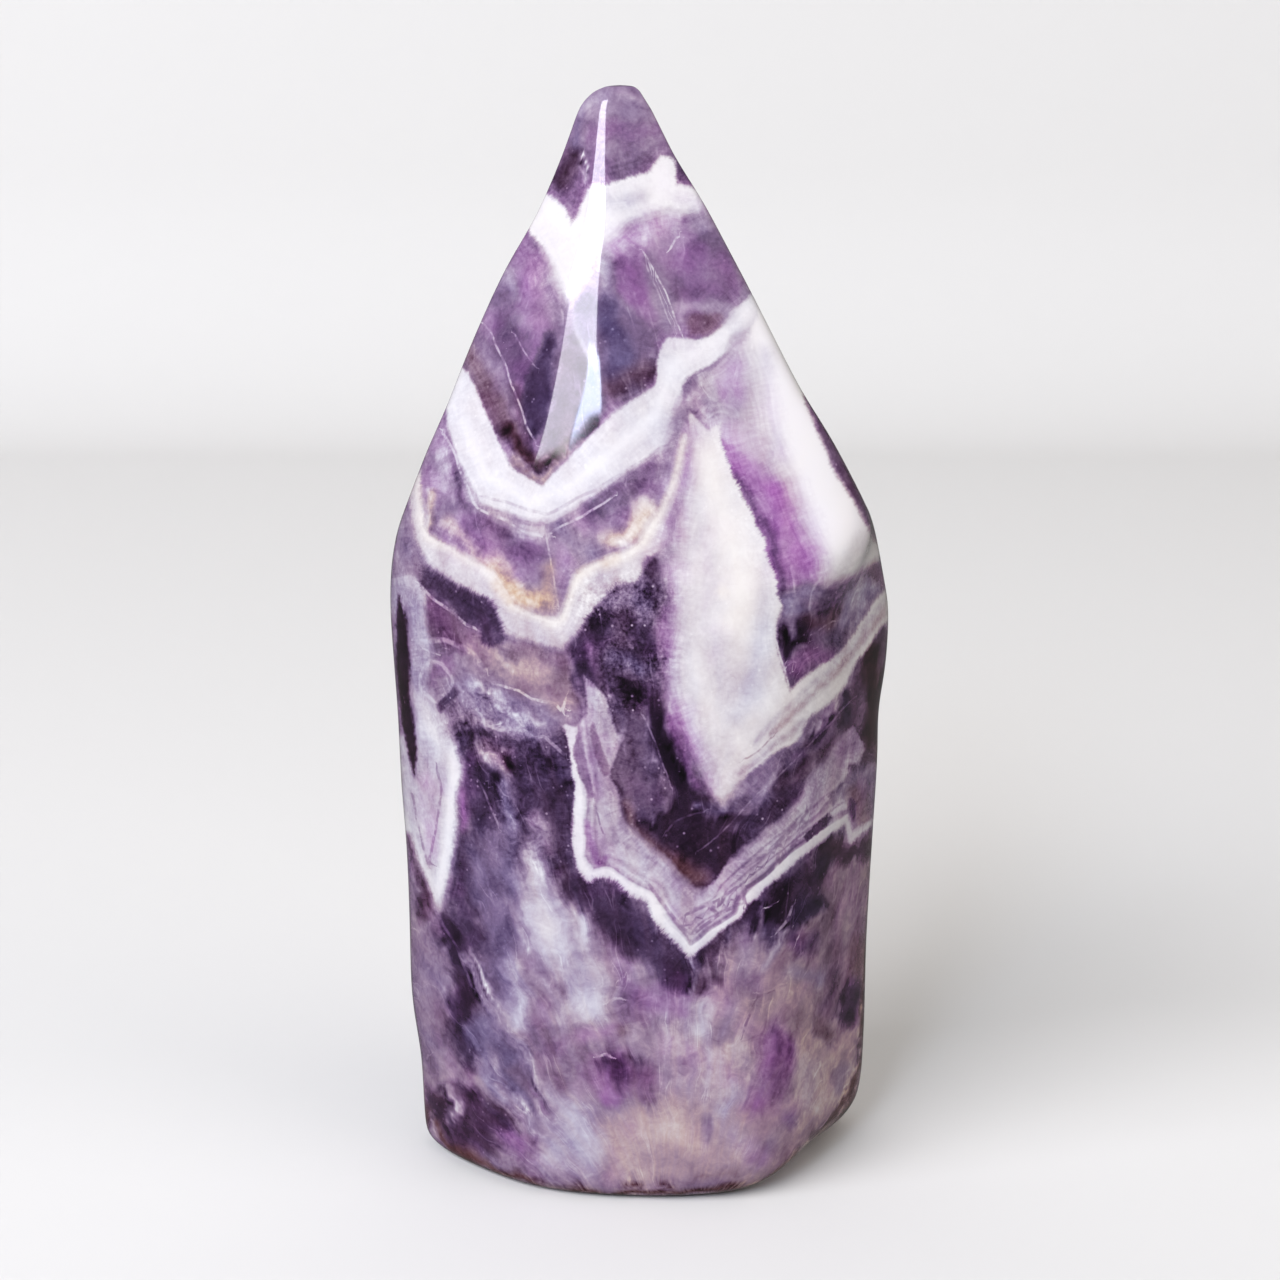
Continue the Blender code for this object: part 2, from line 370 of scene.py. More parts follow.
# Tones are (pigment, hue, earth). Pigment runs from 0, milk white, to 1, nearly black. Hue runs from
# -1, bluish, through violet at 0, to 1, magenta. Earth adds iron: cream, peach, rust and brown.
# A cloud is (points, width, softness, tone): a closed patch where its width is 0, and otherwise a stroke.
clouds = [
    # the tip
    ([(-12, 97), (8, 97), (9, 83), (-13, 83)], 0, 2.0, (0.52, 0.12, 0)),
    ([(-7, 97), (2, 97), (2, 92.6), (-7, 92.6)], 0, 1.0, (0.38, -0.15, 0)),
    ([(-1.6, 95), (-0.2, 94.6)], 0.5, 0.6, (0.30, 0, 0)),
    ([(-2, 91.6), (0.5, 90.8)], 1.0, 1.2, (0.55, 0.2, 0)),
    ([(-3, 88.3), (-1, 88.5), (0.9, 88.9)], 1.0, 0.9, (0.6, 0.15, 0)),
    ([(-5.2, 92.5), (-5.5, 90.6)], 0.9, 0.8, (0.5, -0.4, 0)),
    ([(-6.9, 87.3), (-5.7, 89.6)], 1.4, 0.9, (0.76, 0.05, 0.25)),
    ([(-7.9, 86.6), (-6.9, 85.8), (-6, 84.2), (-5.4, 85.4)], 1.0, 0.5, (0.54, 0.1, 0)),
    ([(-5, 89.8), (-4.6, 88.4), (-5, 87.2)], 0.25, 0.3, (0.25, 0, 0)),
    # between the first and second white bands, right of the ridge
    ([(-4, 85), (8, 86), (11, 76), (2, 73), (2, 66), (-9, 60), (-9, 64), (-4, 74)], 0, 1.2, (0.45, 0.16, 0)),
    ([(3.6, 86), (6, 84.9)], 1.0, 1.2, (0.28, 0.35, 0)),
    ([(-2.5, 81.4), (0.5, 82.8), (3, 83.4)], 1.4, 1.8, (0.22, 0.5, 0)),
    ([(-0.8, 80), (0, 78.4), (0.8, 76)], 2.2, 1.6, (0.52, 0.5, 0)),
    ([(-2.9, 80.4), (-2.8, 77.5)], 1.3, 1.2, (0.28, -0.4, 0)),
    ([(-2.8, 75.4), (-1.6, 72), (-1.2, 70.6)], 3.2, 1.4, (0.68, -0.9, 0)),
    ([(-5.6, 77), (-4.2, 77), (-3.9, 71), (-3, 67), (-8.4, 63), (-7.7, 70)], 0, 0.8, (0.66, -0.4, 0.05)),
    ([(-1, 75), (0.5, 73.5), (0.8, 71.5)], 1.6, 1.2, (0.56, -0.1, 0)),
    ([(-2.4, 68.9), (-0.5, 70), (1.2, 70.6)], 1.6, 1.0, (0.72, 0, 0.35)),
    ([(1.1, 80.6), (1.7, 78.5), (2.4, 76), (3.1, 74.2)], 1.3, 0.6, (0.44, 0, 0)),
    ([(6.3, 82.6), (8, 79.8), (9.4, 77.6)], 1.6, 1.2, (0.48, -0.1, 0)),
    ([(3, 76.15), (5.5, 76.2), (8.2, 76)], 0.8, 0.4, (0.36, 0.1, 0)),
    # left of the ridge
    ([(-9.8, 82.4), (-8, 80), (-6.6, 76.6), (-8.2, 74), (-8.4, 66), (-12, 62), (-16.5, 71.5)],
      0, 0.9, (0.5, 0.15, 0)),
    ([(-9.4, 79.6), (-9, 76), (-9.2, 74.6)], 1.8, 1.4, (0.43, 0.3, 0.08)),
    ([(-12.1, 79), (-11.4, 76.6)], 0.6, 0.7, (0.38, -0.35, 0)),
    ([(-12.4, 74.4), (-11, 72.4), (-9.8, 70.6)], 2.4, 1.2, (0.64, 0.25, 0)),
    ([(-15.4, 72.4), (-14, 70.6), (-12.9, 68), (-11.9, 65.4)], 1.7, 0.8, (0.6, 0.1, 0.4)),
    ([(-11.1, 69), (-10.5, 66.5), (-9.7, 64.6)], 0.9, 0.6, (0.7, 0.2, 0.2)),
    ([(-11.3, 65.2), (-10.4, 63.6), (-8.5, 62.6), (-6.5, 63.6), (-4, 66.2)], 1.0, 0.5, (0.84, 0.05, 0.5)),
    ([(-10.9, 62.6), (-8.5, 61.2), (-6.9, 62.5), (-5, 64.4)], 0.5, 0.5, (0.48, 0.1, 0.6)),
    # under the second white band
    ([(-20.5, 66), (-16.8, 67.5), (-15, 60), (-9, 57), (1, 63), (3, 68), (5, 66), (3, 57), (-2, 53), (-6, 50),
      (-8, 48), (-14, 52), (-20.5, 56)], 0, 0.8, (0.46, 0.15, 0)),
    ([(-16.6, 65.4), (-15.8, 63), (-14.9, 60.4), (-14.1, 58.6), (-12, 57.7), (-9.6, 56.7), (-8, 56.6),
      (-5, 58.3), (-2, 60.6), (1, 62.7), (2.4, 63.8)], 1.1, 0.9, (0.3, -0.05, 0.1)),
    ([(-16.4, 61.6), (-15.6, 59), (-14, 57.2), (-12.2, 56.3), (-10, 55.4)], 0.9, 0.8, (0.66, 0.2, 0)),
    ([(-15.4, 56.6), (-12.5, 55.4), (-9.5, 54.9)], 1.8, 1.2, (0.56, 0.35, 0)),
    ([(-16.8, 57), (-14.4, 54.8), (-11.4, 53.3)], 1.0, 1.0, (0.26, 0.3, 0.4)),
    ([(-6.8, 56.8), (-5.4, 55.4), (-4.4, 54.6)], 1.6, 1.1, (0.5, -0.35, 0)),
    ([(-4, 58.4), (-2.4, 59.4), (0.6, 61.8)], 2.4, 1.2, (0.6, 0.05, 0)),
    ([(-0.8, 59.2), (0.3, 61)], 1.2, 1.1, (0.62, 0.05, 0)),
    ([(2.5, 63.6), (3, 66), (3.7, 67.4)], 1.2, 0.8, (0.4, -0.1, 0.05)),
    ([(-2.4, 55.8), (-0.8, 56.2), (0.8, 58)], 1.4, 1.0, (0.16, 0.1, 0.65)),
    ([(-8.3, 53.4), (-7.7, 51), (-7.5, 49.8)], 1.1, 0.7, (0.42, 0.1, 0.6)),
    ([(-13.2, 52.9), (-11.6, 51.3), (-10, 50.4), (-8.6, 50.2)], 1.7, 0.9, (0.22, 0.0, 0.95)),
    ([(-18.3, 60), (-18.4, 57)], 0.5, 0.5, (0.22, 0, 0.55)),
    ([(-17.6, 64), (-17.4, 60.6)], 0.7, 0.7, (0.3, 0.1, 0)),
    # the left edge and the slab beside it
    ([(-23, 58), (-20.2, 58), (-19.9, 53), (-23, 53)], 0, 0.5, (0.45, -0.1, 0)),
    ([(-23, 53), (-20.2, 52.6), (-20.3, 49), (-23, 49)], 0, 0.8, (0.34, -0.2, 0)),
    ([(-20, 54), (-17, 53), (-13, 50.5), (-6, 47), (-6, 36), (-20, 36)], 0, 0.8, (0.5, 0.02, 0.08)),
    ([(-18.4, 50.2), (-17, 48.8)], 1.4, 0.7, (0.76, 0.05, 0.4)),
    ([(-16.8, 47.6), (-15.2, 47), (-14, 46.6)], 1.1, 0.6, (0.5, 0.3, 0.2)),
    ([(-20, 50.8), (-17.8, 50.4), (-15.2, 48.4), (-13.4, 46.8), (-14.6, 45.4), (-17.6, 46.8), (-19.6, 47.6)],
      0, 0.7, (0.64, 0.3, 0.2)),
    ([(-15.2, 47.2), (-11.6, 46.9), (-6.6, 45.6), (-5.6, 41.4), (-7.4, 40.6), (-9.6, 42.2), (-12.4, 43.8),
      (-14.8, 45.2)], 0, 0.6, (0.42, 0.02, 0.36)),
    ([(-12.4, 46.6), (-9.6, 46.3), (-6.8, 44.6)], 0.9, 0.6, (0.54, 0.05, 0.3)),
    ([(-13.6, 46), (-12, 45.2), (-9, 43.4)], 0.5, 0.8, (0.32, 0, 0.4)),
    ([(-16.8, 43.6), (-14.4, 43.4), (-12, 42.8), (-9.4, 41.4), (-7, 40), (-6.6, 37.6), (-8.4, 37),
      (-10.4, 38.6), (-13, 39.6), (-15.8, 40.6)], 0, 0.7, (0.46, -0.3, 0)),
    ([(-14.6, 42.6), (-11.6, 41.4), (-8.4, 39.6)], 0.7, 0.6, (0.28, -0.2, 0)),
    # the dark violet middle
    ([(-5, 52), (1.5, 54), (3, 47), (2.2, 42), (4.6, 36), (9, 31.5), (13, 35.5), (18, 40), (19, 36), (14, 30),
      (9, 27), (5.5, 24.5), (-1.6, 31), (-3, 36), (-5.4, 41), (-6.2, 46)], 0, 0.8, (0.76, 0.05, 0.05)),
    ([(1.4, 43), (3, 40), (4.4, 36.6), (6.6, 32.6), (9.4, 31), (9, 27.4), (5.4, 25), (-1.4, 31.2),
      (-2.2, 34)], 0, 1.0, (0.88, 0.02, 0.1)),
    ([(0.2, 40.8), (1.4, 37.6), (2.8, 33.6), (1.2, 31), (-1, 32), (-2.6, 35.4), (-3, 38.4)],
      0, 0.6, (0.66, -0.1, 0.1)),
    ([(-1.4, 39.6), (-0.8, 37.4)], 0.8, 0.8, (0.56, -0.2, 0.1)),
    ([(8, 30.2), (12, 33.6), (15.6, 37.4)], 1.2, 1.0, (0.74, 0.05, 0.05)),
    ([(-3.6, 50.6), (-1, 51.4), (1, 50)], 2.2, 1.6, (0.54, -0.1, 0)),
    ([(-4.8, 50), (-3.4, 48.2), (-4.4, 46)], 1.2, 0.8, (0.86, 0, 0)),
    ([(-0.6, 48), (0.4, 46.6)], 1.2, 0.9, (0.84, 0.05, 0)),
    ([(-4.6, 46.6), (-3.8, 44.6)], 1.0, 0.8, (0.62, 0.3, 0)),
    ([(-1.6, 45.4), (-0.2, 44.6)], 1.6, 1.0, (0.62, -0.6, 0)),
    ([(2, 49.6), (2.2, 47.4)], 0.8, 0.8, (0.55, 0.6, 0)),
    ([(-1.4, 42.8), (-0.6, 42)], 1.4, 1.0, (0.93, 0, 0)),
    ([(1.4, 40), (2, 37.2), (3.4, 35)], 1.6, 0.9, (0.95, 0, 0)),
    ([(2.6, 40.4), (3.6, 37.2), (4.9, 34.6)], 0.6, 0.9, (0.62, 0.75, 0)),
    # right of the plume: the magenta wedge
    ([(3.8, 68), (8, 73), (12, 77), (16, 75), (18, 64), (7.4, 63.6), (5.4, 65)], 0, 1.0, (0.26, 0.15, 0.1)),
    ([(6.6, 68.4), (8.4, 70.6), (8.6, 68.6)], 1.2, 1.4, (0.36, 0.5, 0)),
    ([(5.6, 70), (6.2, 68)], 1.0, 1.0, (0.34, -0.2, 0.1)),
    ([(5.3, 67.7), (6.1, 66.3)], 0.8, 0.9, (0.4, 0.0, 0)),
    ([(7, 64.4), (18, 64.4), (21, 58), (19.5, 53), (12.4, 49.5), (9, 58), (7.4, 62)],
      0, 1.0, (0.46, 0.6, 0)),
    ([(8.6, 65), (11, 64), (12.6, 62)], 2.4, 1.6, (0.28, 0.35, 0.1)),
    ([(11.6, 60.6), (13.2, 57), (14.6, 54)], 1.6, 1.4, (0.46, 0.85, 0)),
    ([(8.5, 61.4), (9.8, 58.6), (11.4, 55.6)], 0.7, 1.0, (0.68, 0.35, 0)),
    ([(11.6, 54.6), (12.4, 52.4), (12.3, 51)], 1.0, 0.8, (0.68, 0.35, 0)),
    # the dark patch between the wedge and the fourth band
    ([(12.2, 50.8), (14, 51.6), (16, 52), (18.6, 52.8), (23, 55.5), (23, 51), (18, 45.6), (13, 42),
      (11.6, 47)], 0, 0.6, (0.62, 0.05, 0.05)),
    ([(12.8, 50.2), (14.6, 50.9), (15.8, 51)], 1.0, 0.7, (0.46, -0.45, 0)),
    ([(13, 49.6), (14.4, 49.4)], 1.0, 0.6, (0.5, -0.6, 0)),
    ([(12.6, 47.6), (13.2, 46), (14.6, 46.6), (14.4, 48.2)], 1.2, 0.6, (0.93, 0, 0.1)),
    ([(15.8, 49.8), (16.8, 50.2)], 1.0, 0.6, (0.88, 0, 0.1)),
    ([(15, 48.6), (16.8, 48.9), (17.4, 49.6)], 1.2, 0.7, (0.74, 0.05, 0.5)),
    ([(14, 44.4), (15.4, 45.2), (16.6, 46)], 1.3, 0.7, (0.62, 0.5, 0.1)),
    ([(18.4, 48.6), (19, 50.4), (20, 51.4)], 1.8, 0.9, (0.42, -0.5, 0)),
    ([(20.2, 53.4), (21, 52.4)], 1.1, 0.6, (0.62, 0.3, 0.3)),
    # below the fourth band at the right
    ([(14.6, 39.8), (17, 41), (19.5, 45.5), (21.5, 48.4), (24, 48), (24, 36), (18, 36), (12, 34)],
      0, 0.7, (0.72, 0.1, 0.25)),
    ([(15, 39.2), (16.2, 40.2), (17, 41)], 0.9, 0.7, (0.46, 0.05, 0)),
    ([(15.2, 38.6), (17.2, 40.2)], 0.6, 0.5, (0.8, 0.2, 0)),
    ([(15.4, 37.6), (17.4, 39.4)], 0.9, 0.6, (0.62, 0.05, 0.05)),
    ([(9, 33.2), (11.6, 35.4), (14.2, 37.4)], 0.9, 0.8, (0.58, 0.1, 0)),
    ([(17.9, 41.8), (18.2, 40)], 0.7, 0.5, (0.84, -0.2, 0)),
    ([(20.3, 46.4), (20.8, 42), (20.4, 38.4)], 1.4, 0.8, (0.9, 0, 0.7)),
    # the fourth white band's dark underside
    ([(6, 32), (9, 33.2)], 0.8, 0.8, (0.66, -0.3, 0.1)),
    ([(4.6, 32.6), (7, 32.1), (7.8, 32.3)], 0.7, 0.5, (0.7, -0.5, 0)),
    ([(-1, 30.4), (1.4, 28.5), (4, 26.6), (5.2, 25.8)], 1.6, 1.3, (0.7, 0.1, 0.8)),
    ([(-1.2, 32.6), (-0.8, 31.4)], 0.8, 0.8, (0.6, 0.1, 0.6)),
    # left of the fifth band
    ([(-16.6, 39), (-6, 39), (-5.6, 26), (-11, 22), (-17.5, 22)], 0, 1.2, (0.74, -0.08, 0)),
    ([(-15.8, 39.6), (-13.4, 38.4), (-11, 37.2), (-9.4, 36.6), (-7.6, 36), (-7, 33.2), (-9.4, 33.8),
      (-12, 35.2), (-14.8, 36.4)], 0, 0.9, (0.8, -0.05, 0)),
    ([(-13.6, 37.4), (-12.2, 36.4), (-11.6, 35.4)], 1.2, 0.8, (0.5, 0.05, 0.3)),
    ([(-15.2, 36.4), (-15.1, 31), (-15, 27), (-15.6, 22.5)], 1.8, 1.0, (0.74, 0.25, 0)),
    ([(-15.8, 33.4), (-15.3, 30)], 0.9, 0.8, (0.6, 0.8, 0)),
    ([(-13.8, 35.4), (-13.4, 32), (-14, 28)], 1.2, 0.8, (0.84, -0.2, 0)),
    ([(-9.4, 34.6), (-9.9, 32.4)], 0.9, 0.7, (0.78, -0.1, 0)),
    ([(-12, 34.4), (-11.8, 30.6), (-12, 27), (-11.4, 25.4)], 0.9, 0.9, (0.48, -0.8, 0)),
    ([(-11.6, 26), (-12, 22), (-11.8, 18)], 0.8, 1.0, (0.46, -0.6, 0)),
    ([(-10.2, 36), (-10.3, 34)], 0.8, 0.6, (0.84, -0.3, 0)),
    ([(-8.8, 37.6), (-8, 36.8)], 1.0, 0.6, (0.84, 0, 0)),
    ([(-7.6, 33.2), (-6.6, 34.2)], 0.8, 0.6, (0.84, 0.1, 0)),
    ([(-9.6, 31.2), (-8, 28.6)], 1.6, 1.2, (0.5, 0.1, 0.1)),
    ([(-10, 28.4), (-9.6, 25.6), (-8, 24)], 1.6, 1.0, (0.27, -0.15, 0.05)),
    ([(-7, 26.8), (-6.8, 26.2)], 0.8, 0.6, (0.84, 0.25, 0.1)),
    ([(-11.8, 37.2), (-12.8, 36.6)], 0.8, 0.9, (0.46, 0.05, 0.2)),
    # under the fifth band
    ([(-24, 22), (-5.6, 26.6), (4.4, 19.6), (9.6, 23), (24, 32), (24, -4), (-24, -4)],
      0, 1.0, (0.48, 0.03, 0.12)),
    ([(6, 21), (24, 31), (24, -3), (9, -3), (6.5, 8)], 0, 2.4, (0.43, 0.16, 0.4)),
    ([(-14.8, 30), (-11.4, 30), (-10.8, 22), (-10, 16), (-12.6, 15), (-15, 21)], 0, 1.6, (0.58, -0.4, 0)),
    ([(-10.8, 28.5), (-9, 27.5), (-7.2, 25), (-5.2, 22.6), (-3.4, 19), (-2.4, 16), (-4, 13.4), (-7, 13),
      (-8.6, 17), (-10.4, 21)], 0, 1.6, (0.3, -0.3, 0.04)),
    ([(-17.4, 23), (-15.6, 22.6), (-13.8, 17), (-13.2, 12), (-14.4, 10), (-16.6, 12), (-17.2, 18)],
      0, 1.3, (0.8, 0, 0)),
    ([(-14, 15), (-11.8, 13), (-9.6, 8.4), (-8.6, 4), (-11, 4), (-13.6, 8.6)], 0, 1.3, (0.56, -0.6, 0)),
    ([(-18.6, 7.6), (-14.8, 7.4), (-11.4, 5.8), (-10.6, 3), (-13.4, 1.4), (-17.4, 3)],
      0, 1.2, (0.76, 0.1, 0.15)),
    ([(-9, 8), (-6.8, 8.4), (-4.2, 6.4), (-3, 2.4), (-4.6, 0.2), (-8.4, 1)], 0, 1.5, (0.36, -0.3, 0.04)),
    ([(-3.4, 4.6), (-0.5, 6.6), (3, 7.4), (6.5, 6.8), (9.5, 4.4), (8.5, 1.2), (4, -0.6), (0, -1), (-3, 0.2)],
      0, 1.5, (0.38, 0.02, 0.38)),
    ([(-6.2, 26.8), (-3, 26.4), (-1, 25.4), (1.2, 23), (3, 21), (4.4, 19.6), (5.4, 19.8), (5.2, 16.4),
      (4, 14.6), (2.6, 15.2), (1.4, 17.2), (-0.6, 19.2), (-2.8, 21), (-4.6, 23), (-6.8, 24.8)],
      0, 1.3, (0.77, 0, 0)),
    ([(-2.4, 18), (1.4, 16.6), (4.2, 15.6), (3.4, 13.6), (0.4, 14.2), (-2, 15.8)], 0, 1.3, (0.56, 0.22, 0)),
    ([(8.2, 22.6), (10, 25), (14.6, 28.2), (17, 30), (17.6, 27), (14.8, 22.4), (12, 20), (9.4, 20)],
      0, 1.2, (0.78, 0, 0.05)),
    ([(14.8, 27), (19.6, 29), (20.4, 22), (18.4, 19), (15.4, 20)], 0, 1.4, (0.58, 0.1, 0.35)),
    ([(1, 14), (3.4, 14.6), (8.6, 11), (9.4, 7.4), (6.4, 7), (2.6, 10)], 0, 1.6, (0.36, -0.05, 0.16)),
    ([(10.4, 12), (12, 13.6), (13.6, 12.6), (13.8, 9.6), (12.6, 7.2), (10.6, 5.4), (9, 6.4), (9.8, 9.4)],
      0, 1.2, (0.55, 0.5, 0.15)),
    ([(14.2, 12.6), (17, 13), (18.6, 9), (16.6, 4.6), (14, 4.6)], 0, 1.4, (0.34, 0.05, 0.4)),
    ([(4.8, 19), (7, 20.4), (9.2, 21.6), (10.2, 23)], 1.4, 0.8, (0.78, 0, 0.05)),
    ([(10.6, 23.8), (12.6, 24.8), (14.6, 26), (17, 28.6)], 1.4, 1.0, (0.86, 0.0, 0.05)),
    ([(13.6, 23), (15, 24.2)], 1.6, 0.7, (0.86, -0.3, 0)),
    ([(16.6, 29), (19, 28.2), (20.6, 29)], 1.4, 0.7, (0.8, 0.05, 0.3)),
    ([(18.8, 33.8), (19.4, 31.4)], 1.1, 0.6, (0.55, 0.2, 0.5)),
    ([(-1.8, 18.8), (-0.8, 18)], 1.0, 0.8, (0.38, 0.15, 0)),
    ([(3.2, 17.2), (3.9, 16.4)], 1.0, 0.7, (0.78, 0.25, 0)),
    ([(1, 15.6), (3.2, 14.8), (4, 14.4)], 1.8, 1.4, (0.46, 0.3, 0)),
    ([(4.5, 19), (4.7, 17.4), (4.4, 16)], 0.3, 0.4, (0.42, -0.6, 0)),
    ([(5.1, 17.4), (4.9, 16.2)], 0.7, 0.6, (0.7, 0, 0.3)),
    ([(7, 21.4), (6.6, 19), (6.8, 17.4)], 1.1, 0.8, (0.7, 0.1, 0.2)),
    ([(9.4, 20.4), (9.6, 17)], 2.2, 1.4, (0.48, 0, 0.1)),
    ([(10.1, 24), (10.2, 21)], 0.5, 0.4, (0.88, 0, 0)),
    ([(10.8, 23.6), (10.9, 20.6)], 0.3, 0.4, (0.5, -0.1, 0)),
    ([(12.3, 24.6), (11.9, 22.6)], 1.2, 0.6, (0.93, 0, 0.1)),
    ([(13, 21), (14.2, 20), (15, 20.6)], 1.5, 0.9, (0.68, 0.3, 0)),
    ([(11.2, 18.4), (12, 20), (12.8, 21.8)], 0.6, 0.5, (0.36, -0.1, 0)),
    ([(14, 18), (15.4, 17.6)], 1.4, 1.0, (0.44, -0.2, 0)),
    ([(18.6, 26.6), (18.6, 23), (18, 21.4)], 1.6, 1.0, (0.46, 0.1, 0.35)),
    ([(19.4, 20.4), (19, 17.6)], 1.3, 0.9, (0.6, 0.05, 0.6)),
    ([(19, 16), (18, 14)], 1.8, 1.0, (0.84, 0.2, 0.1)),
    ([(17, 18), (16.4, 15)], 1.6, 1.2, (0.66, 0.1, 0.2)),
    ([(15.6, 13.4), (16.6, 12.4)], 1.3, 0.9, (0.6, 0, 0.5)),
    ([(13.8, 14.6), (14.2, 12.4), (14.8, 11.4)], 0.9, 0.9, (0.45, 0, 0.5)),
    ([(12.2, 12.6), (12.7, 11)], 1.2, 1.0, (0.68, 0.5, 0.1)),
    ([(9.4, 13.4), (9, 11.4), (9.2, 9.6)], 0.8, 0.9, (0.32, 0, 0.15)),
    ([(7.6, 12.6), (7.9, 9)], 0.5, 0.7, (0.42, 0.1, 0.4)),
    ([(8.2, 7.2), (7.2, 6)], 1.4, 1.2, (0.32, -0.15, 0)),
    ([(15, 9.6), (14.8, 6.6)], 1.6, 1.1, (0.34, 0, 0.25)),
    ([(17.6, 9.4), (17.4, 7.8)], 0.9, 0.8, (0.5, 0, 0.15)),
    ([(5.8, 14.6), (5.4, 13)], 1.2, 1.2, (0.3, -0.3, 0)),
    ([(7.6, 15), (7.4, 12.8)], 1.5, 1.2, (0.5, 0, 0.1)),
    ([(4.6, 10.8), (3.4, 9.4)], 1.4, 1.2, (0.46, 0.1, 0.15)),
    ([(-4.4, 10.6), (-1.6, 11.2), (0.4, 9.4), (-0.6, 7.4), (-3, 6.6)], 0, 1.3, (0.64, 0.4, 0.1)),
    ([(-3, 10), (-1.4, 9.2)], 1.0, 0.9, (0.84, 0.3, 0.05)),
    ([(-1.2, 10.6), (-0.6, 10.2)], 0.8, 0.6, (0.72, 0.1, 0.1)),
    ([(-2.8, 7), (-2, 6.8)], 1.2, 0.9, (0.52, 0.7, 0)),
    ([(0.4, 9), (0.8, 7)], 1.8, 1.1, (0.6, 0.35, 0.25)),
    ([(-1.8, 12.7), (-1.2, 12.9)], 0.8, 0.7, (0.58, 0, 0.45)),
    ([(-4.8, 12.2), (-2.6, 13.2)], 1.4, 1.0, (0.44, 0.35, 0.1)),
    ([(5.9, 5), (5.8, 3.4)], 0.9, 0.5, (0.5, 0.05, 0.1)),
    ([(0.6, 4.2), (2.8, 3.6), (4.6, 3)], 2.0, 1.6, (0.28, 0, 0.42)),
    ([(8, 4), (9.8, 2)], 1.6, 1.2, (0.38, 0.15, 0.1)),
    ([(11.4, 2.6), (9.6, 1.2)], 0.9, 0.8, (0.5, 0.2, 0.15)),
    ([(12.6, 5.2), (13.2, 4.6)], 1.0, 0.8, (0.52, 0.2, 0)),
    # the left foot of the stone
    ([(-24, 31), (-18.4, 24), (-17.4, 22), (-16.6, 19), (-17.2, 13), (-19, 9), (-24, 9)],
      0, 1.1, (0.52, -0.15, 0.1)),
    ([(-19.8, 29.6), (-19.2, 27), (-18.6, 25), (-19, 22.6)], 1.0, 0.7, (0.74, 0.1, 0.3)),
    ([(-17.2, 22.6), (-16.4, 20), (-15.6, 17), (-15, 14)], 1.2, 1.2, (0.86, 0.05, 0)),
    ([(-15.6, 23.6), (-14.6, 21.6), (-14.4, 20.4)], 1.8, 0.9, (0.76, 0.1, 0)),
    ([(-14, 19.4), (-13, 17.4)], 2.0, 1.2, (0.6, -0.1, 0)),
    ([(-14.6, 13), (-14.4, 11)], 1.2, 0.9, (0.76, -0.2, 0)),
    ([(-13.6, 13), (-12.2, 11.2), (-11.2, 10)], 2.2, 1.4, (0.56, -0.8, 0)),
    ([(-14.7, 19.8), (-12.2, 14.8), (-9.6, 9.6), (-7.1, 5.1)], 0.35, 0.45, (0.32, -0.4, 0)),
    ([(-13.6, 20.4), (-11, 15.4), (-8.6, 10.6)], 0.4, 0.6, (0.62, -0.3, 0)),
    ([(-15.4, 19.6), (-13.4, 15.6), (-11.4, 12), (-8.8, 6.8)], 0.3, 0.5, (0.44, -0.3, 0)),
    ([(-12.6, 10.2), (-10.4, 6.4), (-8, 2.6)], 0.35, 0.45, (0.36, -0.2, 0)),
    ([(-11, 18), (-10.8, 14)], 1.8, 1.2, (0.32, -0.45, 0)),
    ([(-8.8, 23), (-7.4, 20)], 2.2, 1.2, (0.2, -0.35, 0.05)),
    ([(-6.6, 18), (-5, 16)], 1.2, 1.2, (0.27, -0.2, 0)),
    ([(-5.2, 22.4), (-5, 21)], 1.0, 0.8, (0.18, -0.4, 0)),
    ([(-4.8, 15.6), (-3.6, 14.6)], 2.0, 1.2, (0.25, -0.25, 0)),
    ([(-10, 19), (-8.4, 17.2), (-7, 16)], 0.8, 0.8, (0.48, 0.05, 0.1)),
    ([(-8.8, 13.4), (-7.6, 10.6)], 2.4, 1.4, (0.52, 0.12, 0.1)),
    ([(-10.8, 9.2), (-9.4, 7.6), (-8, 6.2), (-6.8, 4.6)], 0.9, 0.6, (0.58, 0.1, 0)),
    ([(-8.8, 10), (-7, 9), (-6.4, 8)], 1.0, 0.8, (0.56, 0.1, 0.2)),
    ([(-12.8, 8.4), (-13, 10)], 1.0, 1.0, (0.46, -0.45, 0)),
    ([(-17.4, 6.8), (-17.4, 4.8)], 1.0, 1.0, (0.8, 0.05, 0.25)),
    ([(-15.6, 3.6), (-13.6, 4.6), (-11.8, 4.4)], 1.6, 1.2, (0.82, 0.1, 0.15)),
    ([(-17.2, 7.6), (-15.9, 6.2), (-16.6, 4.4)], 0.4, 0.5, (0.46, 0, 0.05)),
    ([(-12.2, 8), (-11, 6), (-9.9, 4.2)], 0.6, 0.6, (0.34, 0.05, 0.05)),
    ([(-11.4, 3.4), (-10.6, 2.8)], 1.2, 0.9, (0.52, 0.3, 0)),
    ([(-9.2, 3.6), (-8.6, 3)], 0.5, 0.5, (0.6, 0.15, 0)),
    ([(-6.4, 5.2), (-4.8, 3), (-4.4, 1.6)], 1.6, 1.6, (0.28, -0.4, 0)),
    ([(-9, 1.4), (-5, 0.4)], 1.2, 1.0, (0.34, 0.05, 0)),
    # painted shade: a dark rust-brown rim along the foot and up both side edges, standing in for the
    # darkening where the outline turns away
    ([(-19.6, 8), (-18.9, 5.6), (-17.6, 3.4), (-15, 1.6), (-11, -0.1), (-6, -1.2), (0, -1.6), (6, -1.4),
      (10, -0.6), (13, 0.9), (16, 3.6), (18.6, 7.2), (19.6, 12), (19.9, 20)], 0.5, 0.5, (0.72, 0, 1.0)),
